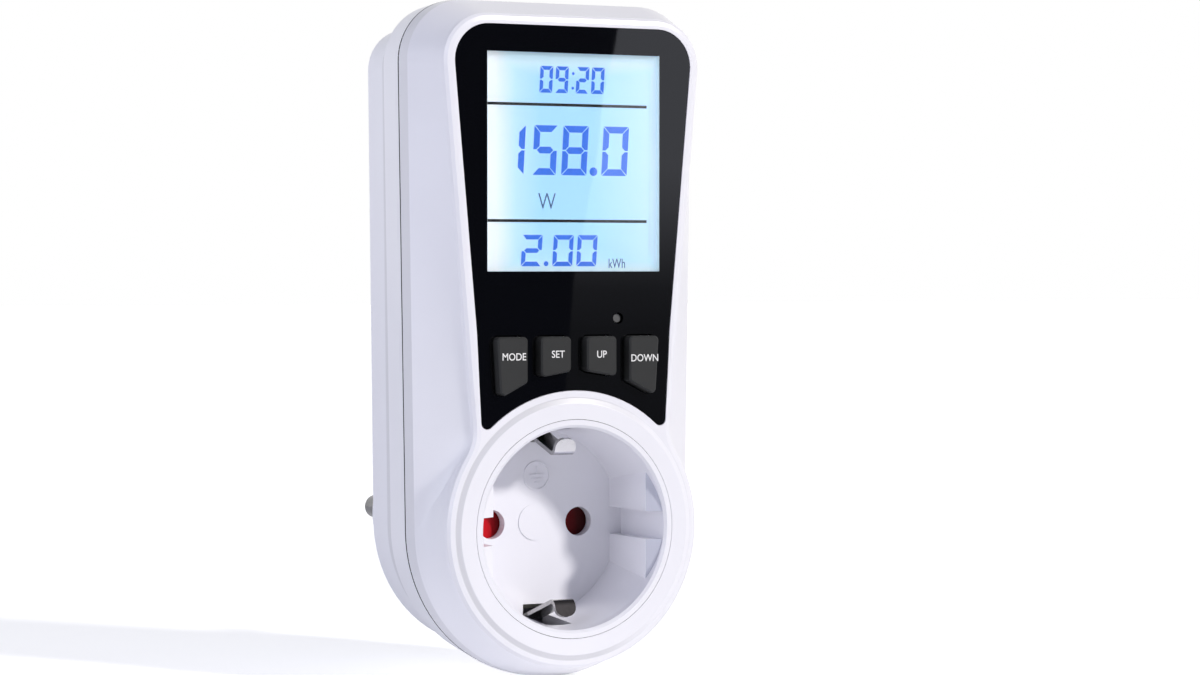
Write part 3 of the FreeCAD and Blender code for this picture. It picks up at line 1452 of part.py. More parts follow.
def bars():
    """Current bars of bent brass, and the shunt that measures the live current."""
    half = "bar_thickness / 2"
    plate, foot = "bar_plate_level + " + half, "power_board_level + bar_through"
    for label, side in (("live_inlet_bar", -1), ("neutral_bar", 1)):
        corners = [(plate, "bar_foot"), (plate, "bar_web_height"), ("bar_rise_level", "bar_web_height"),
                   ("bar_rise_level", "inlet_bar_top"), (foot, "inlet_bar_top")]
        piece = bent_strip(label, corners, "bar", "%d * pin_half" % side)
        piece.pocket(circles(piece, "bar_plate_level + bar_thickness", [("%d * pin_half" % side, "0")],
                             "pin_neck_radius + fit_gap"), "bar_thickness + fit_gap")
        if side > 0:
            neutral_branch(piece)
    level = "contact_back - fit_gap - " + half
    outlet = [(level, "pin_radius + bar_pin_gap"), (level, "outlet_bar_top"), (foot, "outlet_bar_top")]
    bent_strip("live_outlet_bar", outlet, "bar", "-pin_half")
    lower = "outlet_bar_top + bar_thickness + 2 * fit_gap"
    upper = "inlet_bar_top - bar_thickness - 2 * fit_gap"
    base, crest = "power_board_level + bar_thickness", foot + " + shunt_height"
    shunt = [(base, lower), (crest, lower), (crest, upper), (base, upper)]
    bent_strip("current_shunt", shunt, "bar", "-pin_half")


def neutral_branch(piece):
    """Branch of the neutral bar that runs straight to the socket's neutral contact."""
    left, right = span("pin_half", "bar_width")
    top = "bar_web_height + bar_thickness / 2"
    tab_level = "contact_back - bar_thickness - fit_gap"
    tab = rectangles(piece, tab_level, [(left, "pin_radius + bar_pin_gap", right, top)])
    piece.pad(tab, "bar_thickness")
    bridge = rectangles(piece, "bar_rise_level", [(left, top + " - bar_thickness", right, top)])
    piece.pad(bridge, tab_level + " - bar_rise_level")


# Plug

def plug_pin(label, side):
    """Solid round pin turned in one piece: bevelled tip, thicker root, collar and riveted neck."""
    piece = Piece(label)
    profile = piece.sketch("0", plane="XY_Plane")
    tip = "boss_length + pin_length"
    shoulder = "boss_length + pin_root_rise"
    corners = [
        ("0", tip), ("pin_radius - pin_tip_round", tip),
        ("pin_radius - pin_tip_round * 0.3", tip + " - pin_tip_round * 0.3"),
        ("pin_radius", tip + " - pin_tip_round"), ("pin_radius", shoulder), ("pin_root_radius", shoulder),
        ("pin_root_radius", "-boss_inside"), ("pin_collar_radius", "-boss_inside"),
        ("pin_collar_radius", "-collar_back"), ("pin_root_radius", "-collar_back"),
        ("pin_root_radius", "-bar_plate_level"), ("pin_neck_radius", "-bar_plate_level"),
        ("pin_neck_radius", "-(bar_plate_level + bar_thickness)"),
        ("0", "-(bar_plate_level + bar_thickness)"),
    ]
    draw_polygon(profile, corners)
    piece.revolve(profile)
    bind(piece.body, "Placement.Base.x", "%d * pin_half" % side)


def pin_retainer():
    """Plate that holds the collars of both pins against the end of the plug boss."""
    half, height = "(boss_cavity_half - fit_gap)", "(boss_cavity_height - fit_gap)"
    top = "collar_back + retainer_thickness"
    piece = slab("pin_retainer", "-" + half, "-" + height, half, height, "collar_back", top,
                 "boss_cavity_corner - fit_gap")
    piece.pocket(circles(piece, top, PINS, "pin_root_radius + fit_gap"), "retainer_thickness")
    piece.pocket(circles(piece, top, RETAINER_SCREWS, "small_shank_radius + screw_clearance"),
                 "retainer_thickness")


# Screws

def screw_set(label, spots, seat, length, kind, towards_front):
    """One screw of a kind at each spot."""
    sizes = (kind + "_head", kind + "_shank_radius", kind + "_head_radius")
    return [screw("%s_%d" % (label, index), x, z, seat, length, *sizes, towards_front)
            for index, (x, z) in enumerate(spots)]


def screws():
    """Housing, board, carrier and retainer screws, each kind as one group of solids."""
    group("housing_screws", screw_set("housing_screw", HOUSING_SCREWS, "screw_seat_level", "screw_length",
                                      "screw", True))
    length = "small_length - hole_end"
    board = screw_set("control_screw", CONTROL_POSTS, "board_back", length, "small", True)
    board += screw_set("power_screw", POWER_POSTS, "power_board_level", length, "small", False)
    group("board_screws", board)
    group("carrier_screws", screw_set("carrier_screw", CARRIER_SCREWS, "carrier_front - carrier_front_wall",
                                      "carrier_front_wall + thread_bite", "small", True))
    group("retainer_screws", screw_set("retainer_screw", RETAINER_SCREWS, "collar_back + retainer_thickness",
                                       "retainer_thickness + thread_bite", "small", False))


def build():
    """Make every piece of the meter."""
    fill_sheet()
    front_cover()
    rear_cover()
    fascia_panel()
    display()
    for index, name in enumerate(KEY_NAMES):
        key(index)
        tact_switch("switch_" + name, "plunger_" + name, key_centre(index), KEY_HEIGHT, "button_level", None)
    tact_switch("reset_switch", "reset_plunger", "reset_x", "reset_z", "reset_tip", "reset_radius")
    boards()
    socket_insert()
    shutter()
    contact_carrier()
    shutter_spring()
    contact("live_contact", -1)
    contact("neutral_contact", 1)
    earth_parts()
    plug_pin("plug_pin_left", -1)
    plug_pin("plug_pin_right", 1)
    pin_retainer()
    bars()
    screws()
    doc.recompute()


def write_parts():
    """Check every object and every sub-part, then write one STEP file for each node."""
    for item in doc.Objects:
        if "Invalid" in item.State or "Error" in item.State:
            raise ValueError("%s is in error: %s" % (item.Name, item.State))
    for label, item in nodes.items():
        if item.Shape.isNull() or not item.Shape.isValid() or not item.Shape.Solids:
            raise ValueError("%s has no valid solid" % label)
    os.makedirs("parts", exist_ok=True)
    for label, item in nodes.items():
        item.Shape.exportStep(os.path.join("parts", label + ".step"))
    print("%d nodes, %d solids" % (len(nodes), sum(len(item.Shape.Solids) for item in nodes.values())))


build()
write_parts()
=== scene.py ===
"""Looks of the plug-through electricity meter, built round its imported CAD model.

Metres, in the CAD's own frame: x to the right seen from the front, y into the wall, z up. The
origin lies on the wall, on the axis of plug and socket. Sizes of the part are written in
millimetres, and MM turns them into metres; the stage and the materials' grain are in metres.
"""

import json
import math

import bmesh
import bpy
from mathutils import Matrix, Vector

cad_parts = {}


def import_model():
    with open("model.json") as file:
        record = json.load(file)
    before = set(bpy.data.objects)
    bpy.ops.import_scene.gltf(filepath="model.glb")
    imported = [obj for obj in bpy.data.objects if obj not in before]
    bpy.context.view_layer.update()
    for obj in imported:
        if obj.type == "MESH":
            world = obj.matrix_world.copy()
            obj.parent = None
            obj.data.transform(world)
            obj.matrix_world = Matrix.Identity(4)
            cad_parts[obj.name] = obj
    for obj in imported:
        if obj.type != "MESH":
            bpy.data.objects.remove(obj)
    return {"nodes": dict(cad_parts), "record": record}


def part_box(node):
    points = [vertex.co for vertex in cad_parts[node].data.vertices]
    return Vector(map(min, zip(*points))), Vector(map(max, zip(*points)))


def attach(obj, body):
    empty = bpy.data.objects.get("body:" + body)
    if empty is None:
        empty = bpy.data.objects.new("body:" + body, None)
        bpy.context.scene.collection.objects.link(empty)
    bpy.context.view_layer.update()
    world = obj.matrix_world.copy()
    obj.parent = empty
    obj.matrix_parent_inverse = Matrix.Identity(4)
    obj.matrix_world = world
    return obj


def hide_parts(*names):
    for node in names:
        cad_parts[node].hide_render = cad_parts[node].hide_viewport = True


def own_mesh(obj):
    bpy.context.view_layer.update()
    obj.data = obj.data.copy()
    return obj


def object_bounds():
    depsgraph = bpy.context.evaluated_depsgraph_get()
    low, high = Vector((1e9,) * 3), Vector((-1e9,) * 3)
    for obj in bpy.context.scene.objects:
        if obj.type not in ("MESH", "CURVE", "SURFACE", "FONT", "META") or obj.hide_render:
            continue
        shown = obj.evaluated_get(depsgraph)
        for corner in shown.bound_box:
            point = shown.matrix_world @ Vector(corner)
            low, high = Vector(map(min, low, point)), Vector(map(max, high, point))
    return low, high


MM = 0.001
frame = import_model()
NODES = frame["nodes"]
CAD_BOX = [list(corner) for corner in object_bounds()]

WINDOW_LOW, WINDOW_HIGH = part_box("display_window")
GLASS_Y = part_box("lcd_panel")[0].y
INSERT_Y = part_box("socket_insert")[0].y
FASCIA_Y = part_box("fascia_panel")[0].y


# Node trees

# Places of the colour sockets on Blender's Mix node, whose sockets share their names.
MIX_FIRST, MIX_SECOND, MIX_RESULT = 6, 7, 2


class Nodes:
    """Builds the node tree of a material or of the world."""

    def __init__(self, owner, output="OutputMaterial"):
        self.owner = owner
        owner.use_nodes = True
        self.tree = owner.node_tree
        self.tree.nodes.clear()
        self.output = self.add(output)

    def add(self, kind, **settings):
        """Add a node; a setting fills the input of its name, or else sets the property."""
        node = self.tree.nodes.new("ShaderNode" + kind)
        for name, value in settings.items():
            socket = name.replace("_", " ")
            if socket in node.inputs:
                node.inputs[socket].default_value = value
            else:
                setattr(node, name, value)
        return node

    def link(self, source, target):
        self.tree.links.new(source, target)

    def feed(self, node, **sources):
        """Link outputs to the inputs of these names."""
        for name, source in sources.items():
            self.link(source, node.inputs[name.replace("_", " ")])
        return node

    def surface(self, source):
        """Use this output as the surface."""
        self.link(source, self.output.inputs["Surface"])

    def principled(self, **constants):
        """The surface's shader, with constants for some inputs."""
        node = self.add("BsdfPrincipled", **constants)
        self.surface(node.outputs["BSDF"])
        return node

    def axes(self, kind="Object"):
        """The X, Y and Z outputs of the place on the piece."""
        place = self.add("TexCoord").outputs[kind]
        return self.feed(self.add("SeparateXYZ"), Vector=place).outputs

    def mapped(self, **mapping):
        """The place on the piece, scaled or turned."""
        place = self.add("TexCoord").outputs["Object"]
        return self.feed(self.add("Mapping", **mapping), Vector=place).outputs["Vector"]

    def noise(self, scale, detail=3.0, roughness=0.5, vector=None):
        node = self.add("TexNoise", Scale=scale, Detail=detail, Roughness=roughness)
        return self.feed(node, Vector=vector or self.mapped()).outputs["Fac"]

    def ramp(self, value, stops):
        """Colour ramp through (position, colour) stops."""
        node = self.feed(self.add("ValToRGB"), Fac=value)
        elements = node.color_ramp.elements
        while len(elements) < len(stops):
            elements.new(0.5)
        for element, (position, colour) in zip(elements, stops):
            element.position = position
            element.color = (*colour, 1.0)
        return node.outputs["Color"]

    def span(self, value, low, high, start=0.0, end=1.0):
        """Map the range low to high onto start to end."""
        node = self.add("MapRange", From_Min=low, From_Max=high, To_Min=start, To_Max=end)
        return self.feed(node, Value=value).outputs["Result"]

    def between(self, share, low, high):
        """Map a 0 to 1 share to the range low to high."""
        return self.span(share, 0.0, 1.0, low, high)

    def bump(self, height, strength, distance):
        """Normal that follows a height."""
        node = self.add("Bump", Strength=strength, Distance=distance)
        return self.feed(node, Height=height).outputs["Normal"]

    def mix(self, kind, first, second, share=1.0):
        """Mix two colours by a blend type; the share is a number or an output."""
        node = self.add("Mix", data_type="RGBA", blend_type=kind)
        if isinstance(share, float):
            node.inputs["Factor"].default_value = share
        else:
            self.feed(node, Factor=share)
        self.link(first, node.inputs[MIX_FIRST])
        self.link(second, node.inputs[MIX_SECOND])
        return node.outputs[MIX_RESULT]

    def shaded(self, colours, place, stops, share=1.0):
        """Multiply colours by the grey that the (position, grey) stops give at a place."""
        greys = self.ramp(place, [(position, (grey,) * 3) for position, grey in stops])
        return self.mix("MULTIPLY", colours, greys, share)


def new_material(name):
    return Nodes(bpy.data.materials.new(name))


# Painted shade: functions that darken a material's colours by the place on the part

def band_shade(low, high, grey):
    """Shade between two places along y, for a step or lip that catches less light."""
    stops = [(0.0, 1.0), (0.08, grey), (0.92, grey), (1.0, 1.0)]
    return lambda made, colours: made.shaded(
        colours, made.span(made.axes()["Y"], low * MM, high * MM), stops)


def ring_shade(inner, outer, grey):
    """Shade on the step round the socket; it fades out at the right, which faces the light."""
    stops = [(0.0, 1.0), (0.14, grey), (0.84, grey), (1.0, 1.0)]
    fade_start, fade_end = 5 * MM, 17 * MM

    def shade(made, colours):
        place = made.axes()
        flat = made.feed(made.add("CombineXYZ"), X=place["X"], Z=place["Z"])
        length = made.add("VectorMath", operation="LENGTH")
        made.link(flat.outputs["Vector"], length.inputs[0])
        radius = made.span(length.outputs["Value"], inner * MM, outer * MM)
        left = made.span(place["X"], fade_start, fade_end, 1.0, 0.0)
        return made.shaded(colours, radius, stops, left)
    return shade


def wing_shade(reach, greys):
    """Shade that changes from side to side, through (millimetres across, grey) stops."""
    stops = [((across + reach) / (2 * reach), grey) for across, grey in greys]
    return lambda made, colours: made.shaded(
        colours, made.span(made.axes()["X"], -reach * MM, reach * MM), stops)


# Materials

def tint(colour, share):
    """A colour made darker or lighter, up to full."""
    return tuple(min(1.0, channel * share) for channel in colour)


def plastic(name, colour, roughness, grain=2600.0, depth=0.00002, spread=0.06, coat=0.0,
            specular=0.5, shades=()):
    """Moulded plastic: fine spark-eroded grain, slow colour drift, uneven gloss and any painted
    shades.
    """
    made = new_material(name)
    drift = made.noise(scale=70.0, detail=2.0)
    smears = made.noise(scale=240.0, detail=5.0, roughness=0.6)
    colours = made.ramp(drift, [(0.3, tint(colour, 1 - spread)),
                                (0.7, tint(colour, 1 + spread * 0.5))])
    for shade in shades:
        colours = shade(made, colours)
    shader = made.principled(Specular_IOR_Level=specular, Coat_Weight=coat, Coat_Roughness=0.08)
    made.feed(shader, Base_Color=colours,
              Roughness=made.between(smears, roughness * 0.85, roughness * 1.15),
              Normal=made.bump(made.noise(grain, detail=2.0), strength=0.25, distance=depth))
    return made.owner


def moulded_white(name, *shades):
    """The covers' satin white with a thin gloss skin, and any painted shades given."""
    return plastic(name, (0.86, 0.86, 0.92), 0.30, grain=3200.0, depth=0.000012, spread=0.012,
                   coat=0.15, shades=shades)


def metal(name, colour, roughness, stretch=(1.0, 12.0, 1.0), dull=0.25):
    """Stamped or drawn metal: lines along the drawing direction, and tarnish in patches."""
    made = new_material(name)
    patches = made.noise(scale=260.0, detail=4.0)
    lines = made.noise(scale=1500.0, detail=3.0, vector=made.mapped(Scale=stretch))
    made.feed(made.principled(Metallic=1.0),
              Base_Color=made.ramp(patches, [(0.35, tint(colour, 1 - dull)), (0.65, colour)]),
              Roughness=made.between(lines, roughness * 0.7, roughness * 1.4),
              Normal=made.bump(lines, strength=0.2, distance=0.00001))
    return made.owner


def clear_plastic(name, colour, roughness, transmission=1.0):
    """Clear or frosted plastic with a faint uneven haze."""
    made = new_material(name)
    haze = made.noise(scale=900.0, detail=3.0)
    made.feed(made.principled(Transmission_Weight=transmission, IOR=1.49),
              Base_Color=made.ramp(haze, [(0.0, tint(colour, 0.985)), (1.0, colour)]),
              Roughness=made.between(haze, roughness * 0.6, roughness * 1.6))
    return made.owner


def board_material(name):
    """Green solder mask with copper runs showing through as lighter lines."""
    made = new_material(name)
    runs = made.add("TexBrick", Scale=260.0, Mortar_Size=0.012, Color1=(0.012, 0.125, 0.045, 1),
                    Color2=(0.016, 0.150, 0.055, 1), Mortar=(0.040, 0.260, 0.090, 1))
    made.feed(runs, Vector=made.mapped(Rotation=(math.pi / 2, 0, 0)))
    made.feed(made.principled(Specular_IOR_Level=0.6), Base_Color=runs.outputs["Color"],
              Roughness=made.between(made.noise(scale=500.0), 0.28, 0.42),
              Normal=made.bump(runs.outputs["Fac"], strength=0.3, distance=0.00002))
    return made.owner


def glowing(made, colours, roughness, strength):
    """Surface that shines a little in its own colours."""
    shader = made.principled(Roughness=roughness, Emission_Strength=strength)
    made.feed(shader, Base_Color=colours, Emission_Color=colours)
    return made.owner


def ink(name, colour, glow=0.0):
    """Segment or printed ink with a slightly uneven edge of density."""
    made = new_material(name)
    density = made.noise(scale=1300.0, detail=2.0)
    colours = made.ramp(density, [(0.3, tint(colour, 0.92)), (0.7, tint(colour, 1.05))])
    return glowing(made, colours, roughness=0.45, strength=glow)


# The lit field's colours, from its left to its right and from its bottom to its top. The near-white
# stops at its left are painted glare, and the paler last stop at its right is painted light against
# the frame's shade.
FIELD_BLUE, FIELD_PAINTED_GLARE = (0.41, 0.74, 0.97), (0.86, 0.93, 0.98)
FIELD_ACROSS = [
    (0.0, FIELD_PAINTED_GLARE), (0.06, FIELD_PAINTED_GLARE), (0.18, (0.54, 0.81, 0.97)), (0.32, FIELD_BLUE),
    (0.62, FIELD_BLUE), (0.80, (0.50, 0.79, 0.97)), (0.94, (0.57, 0.83, 0.96)),
    (0.958, (0.54, 0.74, 0.91)), (1.0, (0.68, 0.86, 0.97))]
FIELD_UPWARD = [
    (0.0, (0.74, 0.89, 0.97)), (0.06, (0.50, 0.81, 0.98)), (0.14, FIELD_BLUE),
    (0.88, FIELD_BLUE), (0.955, (0.68, 0.88, 0.97)), (0.975, (0.66, 0.86, 0.97))]


def display_material():
    """Lit liquid crystal field: pale blue; near white along its top, and along its left in painted
    glare.
    """
    made = new_material("lcd_lit_field")
    place = made.axes()
    across = made.ramp(made.span(place["X"], WINDOW_LOW.x, WINDOW_HIGH.x), FIELD_ACROSS)
    upward = made.ramp(made.span(place["Z"], WINDOW_LOW.z, WINDOW_HIGH.z), FIELD_UPWARD)
    field = made.mix("LIGHTEN", across, upward, share=0.75)
    cloud = made.ramp(made.noise(scale=90.0, detail=1.0),
                      [(0.3, (0.97, 0.98, 0.99)), (0.7, (1.0, 1.0, 1.0))])
    return glowing(made, made.mix("MULTIPLY", field, cloud), roughness=0.35, strength=0.33)


# Stretch of the rolled lines on the nickel strips.
STRIP_LINES = (9.0, 1.0, 1.0)
# Painted light and shade on the shutter's wings behind the pin holes: bright at the far left, dark
# further inside.
SHUTTER_REACH = 13.2
SHUTTER_GREYS = [(-9.5, 1.0), (-6.3, 0.08), (6.5, 0.30), (7.6, 0.31), (10.6, 0.08), (13.2, 0.03)]

# One material for each material slot of the record.
MATERIALS = {
    "cover_white": moulded_white("moulded_white"),
    "fascia_black": plastic("polished_black", (0.0010, 0.0011, 0.0018), 0.016, grain=900.0,
                            depth=0.000001),
    "window_clear": clear_plastic("clear_window", (0.985, 0.995, 1.0), 0.006),
    "lcd": plastic("lcd_glass", (0.50, 0.72, 0.84), 0.15, depth=0.000001),
    "light_guide": clear_plastic("frosted_guide", (0.90, 0.97, 1.0), 0.35, transmission=0.6),
    "lamp": clear_plastic("lamp_lens", (1.0, 1.0, 0.86), 0.1, transmission=0.5),
    "frame_white": plastic("frame_white", (0.80, 0.80, 0.80), 0.5),
    "zebra": plastic("elastomer", (0.62, 0.42, 0.46), 0.7),
    "board_green": board_material("board"),
    "chip_black": plastic("chip_epoxy", (0.018, 0.018, 0.020), 0.55, grain=5000.0, depth=0.00003),
    "can_metal": metal("crystal_can", (0.70, 0.70, 0.71), 0.25),
    "battery": plastic("battery_sleeve", (0.045, 0.180, 0.095), 0.32),
    "key_grey": plastic("key_plastic", (0.026, 0.027, 0.028), 0.55, grain=4200.0, depth=0.00003,
                        spread=0.10, specular=0.2),
    "switch_case": plastic("switch_plastic", (0.012, 0.012, 0.013), 0.45),
    "plunger": plastic("plunger_plastic", (0.66, 0.64, 0.58), 0.45),
    "reset_grey": plastic("reset_plastic", (0.075, 0.076, 0.080), 0.5),
    # The red is brighter than the shutter's own, so the painted shade leaves a painted highlight at
    # the far left.
    "shutter_red": plastic("shutter_red_painted_light_and_shade", (0.56, 0.006, 0.015), 0.40, spread=0.10,
                           specular=0.12, shades=[wing_shade(SHUTTER_REACH, SHUTTER_GREYS)]),
    "spring_steel": metal("spring_steel", (0.62, 0.62, 0.63), 0.22, stretch=(12.0, 1.0, 1.0)),
    "carrier": plastic("carrier_plastic", (0.62, 0.61, 0.56), 0.5),
    "brass": metal("brass", (0.80, 0.60, 0.28), 0.28, stretch=(1.0, 1.0, 9.0), dull=0.35),
    "nickel": metal("nickel_plate", (0.46, 0.455, 0.445), 0.24, stretch=STRIP_LINES, dull=0.14),
    "shunt": metal("shunt_alloy", (0.55, 0.47, 0.40), 0.34),
    "retainer": plastic("retainer_plastic", (0.45, 0.45, 0.42), 0.5),
    "film_cap": plastic("film_case", (0.60, 0.42, 0.045), 0.3),
    "can_sleeve": plastic("can_sleeve", (0.012, 0.020, 0.060), 0.25),
    "varistor_blue": plastic("dipped_epoxy", (0.015, 0.070, 0.340), 0.28, depth=0.00006,
                             grain=800.0),
    "resistor": plastic("lacquer", (0.110, 0.280, 0.210), 0.35),
    "screw_steel": metal("zinc_screws", (0.62, 0.62, 0.64), 0.3, stretch=(6.0, 1.0, 6.0)),
}
TURNED_PIN = metal("nickel_turned", (0.25, 0.25, 0.26), 0.20, stretch=(1.0, 14.0, 1.0), dull=0.3)

# Nodes with a material of their own: painted shade on the lip, the socket ring's step and the rear
# step, and darker pins.
OWN_FINISHES_AND_PAINTED_SHADES = {
    "front_cover": moulded_white("moulded_white_front_painted_shade",
                                 ring_shade(inner=24.1, outer=25.35, grey=0.79),
                                 band_shade(low=-28.5, high=-24.8, grey=0.86)),
    "rear_cover": moulded_white("moulded_white_rear_painted_shade",
                                band_shade(low=-13.4, high=-9.4, grey=0.82)),
    "plug_pin_left": TURNED_PIN,
    "plug_pin_right": TURNED_PIN,
}


def dress_nodes():
    """Give every CAD node its own finish or painted shade, or the material of its slot in the
    record.
    """
    for entry in frame["record"]["subparts"]:
        name, materials = entry["node"], NODES[entry["node"]].data.materials
        materials.clear()
        materials.append(OWN_FINISHES_AND_PAINTED_SHADES.get(name) or MATERIALS[entry["material_slot"]])


# Mesh tools

LETTER_THICKNESS, LETTER_CURVE_STEPS = 0.06, 4


def new_object(name, data):
    """New object in the scene, at the origin."""
    made = bpy.data.objects.new(name, data)
    bpy.context.scene.collection.objects.link(made)
    return made


def new_mesh(name, vertices, faces):
    mesh = bpy.data.meshes.new(name)
    mesh.from_pydata([tuple(vertex) for vertex in vertices], [], faces)
    mesh.update()
    return mesh


def add_piece(name, mesh, material, body="housing"):
    """New visible piece of the part, on its body and with its slot."""
    piece = new_object(name, mesh)
    mesh.materials.clear()
    mesh.materials.append(material)
    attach(piece, body)
    return piece


def mesh_piece(name, vertices, faces, material):
    return add_piece(name, new_mesh(name, vertices, faces), material)


def turn_outward(mesh):
    """Turn every face of a closed mesh outward."""
    shell = bmesh.new()
    shell.from_mesh(mesh)
    bmesh.ops.recalc_face_normals(shell, faces=shell.faces)
    shell.to_mesh(mesh)
    shell.free()


def prism_faces(count, start=0):
    """Faces of a prism whose two outlines follow each other in the list of vertices."""
    ring = [start + k for k in range(count)]
    following = ring[1:] + ring[:1]
    ends = [[k + count for k in ring], ring[::-1]]
    return ends + [[a, b, b + count, a + count] for a, b in zip(ring, following)]


class Flat:
    """Collects flat polygons that stand a little proud of a plane facing the front."""

    def __init__(self, y, thickness):
        self.y, self.thickness = y, thickness
        self.vertices, self.faces = [], []

    def polygon(self, points):
        """Prism over a counter-clockwise outline seen from the front."""
        self.faces += prism_faces(len(points), len(self.vertices))
        for depth in (self.y, self.y - self.thickness):
            self.vertices += [(x, depth, z) for x, z in points]

    def bar(self, left, bottom, right, top):
        self.polygon([(left, bottom), (right, bottom), (right, top), (left, top)])

    def disc(self, x, z, radius, count=24):
        turns = [2 * math.pi * k / count for k in range(count)]
        self.polygon([(x + radius * math.cos(a), z + radius * math.sin(a)) for a in turns])

    def ring(self, x, z, inner, outer, count=48):
        """Ring made of short blocks."""
        for k in range(count):
            a, b = (2 * math.pi * (k + step) / count for step in (0, 1))
            corners = ((inner, a), (outer, a), (outer, b), (inner, b))
            self.polygon([(x + r * math.cos(t), z + r * math.sin(t)) for r, t in corners])

    def build(self, name, material):
        return mesh_piece(name, self.vertices, self.faces, material)


def letters(name, text, size, centre, y, material, body="housing", narrow=1.0, heavy=0.0):
    """Printed letters facing the front, as a mesh; sizes in millimetres, y in metres."""
    curve = bpy.data.curves.new(name, "FONT")
    curve.body = text
    curve.size = size * MM
    curve.align_x, curve.align_y = "CENTER", "CENTER"
    curve.offset = heavy * MM
    curve.extrude = LETTER_THICKNESS * MM / 2
    curve.resolution_u = LETTER_CURVE_STEPS
    word = new_object(name + "_outline", curve)
    mesh = bpy.data.meshes.new_from_object(word)
    bpy.data.objects.remove(word)
    shift = Matrix.Translation((centre[0] * MM, y, centre[1] * MM))
    upright = Matrix.Rotation(math.pi / 2, 4, "X")
    mesh.transform(shift @ upright @ Matrix.Diagonal((narrow, 1, 1, 1)))
    return add_piece(name, mesh, material, body)


# Display and legends

SEGMENTS = {
    "0": "abcdef", "1": "bc", "2": "abged", "3": "abgcd", "4": "fgbc", "5": "afgcd",
    "6": "afgedc", "7": "abc", "8": "abcdefg", "9": "abcdfg",
}
# Rows of digits from the top: the signs' left edges and widths, the row's bottom, the digits'
# height, stroke weight, gap between strokes and slant, and the dots' (x, z) places.
DIGIT_ROWS = [
    dict(signs="0920", lefts=(-6.90, -3.57, 0.87, 4.16), widths=(2.70, 2.70, 2.70, 2.70),
         bottom=83.38, height=5.05, weight=0.72, gap=0.11, slant=0.056,
         dots=((0.25, 84.35), (0.36, 87.15)), dot_radius=0.27),
    dict(signs="1580", lefts=(-15.55, -8.45, -2.25, 6.40), widths=(5.25, 5.00, 5.40, 5.50),
         bottom=67.70, height=9.45, weight=1.27, gap=0.13, slant=0.058,
         dots=((4.69, 68.45),), dot_radius=0.82),
    dict(signs="200", lefts=(-10.85, -4.17, 0.98), widths=(4.25, 4.25, 4.25),
         bottom=50.30, height=5.95, weight=0.86, gap=0.12, slant=0.066,
         dots=((-5.47, 50.78),), dot_radius=0.48),
]
# The two dividing lines: heights, half thickness, gap to the window's left, and right end.
LINE_LEVELS, LINE_HALF, LINE_INSET, LINE_RIGHT = (81.10, 58.95), 0.27, 0.1, 16.3
FIELD_THICKNESS, FIELD_INSET, SIGN_THICKNESS = 0.02, 0.02, 0.03
# Lit window edges: their gap to the window's front, top and bottom, their gap to the display, and
# where they start and end inside the window's side.
EDGE_GAP, EDGE_BACK, EDGE_INSIDE = 0.02, 0.06, (0.005, 0.03)
# The unit signs: name, word, size, centre, width over natural width, and stroke offset.
UNITS = [("lcd_unit", "W", 4.6, (-5.27, 62.5), 0.80, -0.05),
         ("lcd_unit_small", "kWh", 2.6, (9.8, 50.75), 0.72, 0.0)]
# The keys' words: size, width over natural width, stroke offset and lift off the key; then each
# key's word and its centre.
LEGEND_SIZE, LEGEND_NARROW, LEGEND_HEAVY, LEGEND_LIFT = 1.95, 0.92, 0.012, 0.01
LEGENDS = {"func": ("MODE", (-13.9, 33.1)), "cost": ("SET", (-4.6, 33.5)),
           "up": ("UP", (4.75, 33.4)), "down": ("DOWN", (14.1, 32.6))}


def segment_outlines(width, height, weight, gap):
    """Corners of the seven bars of one digit, with its lower left corner at 0, 0."""
    w, h, t, g, m = width, height, weight, gap, height / 2
    return {
        "a": [(g, h), (t + g * 0.4, h - t), (w - t - g * 0.4, h - t), (w - g, h)],
        "d": [(g, 0), (w - g, 0), (w - t - g * 0.4, t), (t + g * 0.4, t)],
        "f": [(0, h - g), (0, m + g), (t * 0.5, m + g), (t, m + t * 0.5 + g), (t, h - t - g)],
        "e": [(0, g), (t, t + g), (t, m - t * 0.5 - g), (t * 0.5, m - g), (0, m - g)],
        "b": [(w, h - g), (w - t, h - t - g), (w - t, m + t * 0.5 + g), (w - t * 0.5, m + g),
              (w, m + g)],
        "c": [(w, g), (w, m - g), (w - t * 0.5, m - g), (w - t, m - t * 0.5 - g),
              (w - t, t + g)],
        "g": [(t * 0.5 + g, m), (t + g, m - t * 0.5), (w - t - g, m - t * 0.5),
              (w - t * 0.5 - g, m), (w - t - g, m + t * 0.5), (t + g, m + t * 0.5)],
    }


def digit_row(flat, row):
    """Add one row of the display: its digits, then its dots."""
    for sign, left, width in zip(row["signs"], row["lefts"], row["widths"]):
        outlines = segment_outlines(width, row["height"], row["weight"], row["gap"])
        for segment, outline in outlines.items():
            if segment in SEGMENTS[sign]:
                flat.polygon([((left + x + z * row["slant"]) * MM, (row["bottom"] + z) * MM)
                              for x, z in outline])
    for x, z in row["dots"]:
        flat.disc(x * MM, z * MM, row["dot_radius"] * MM)


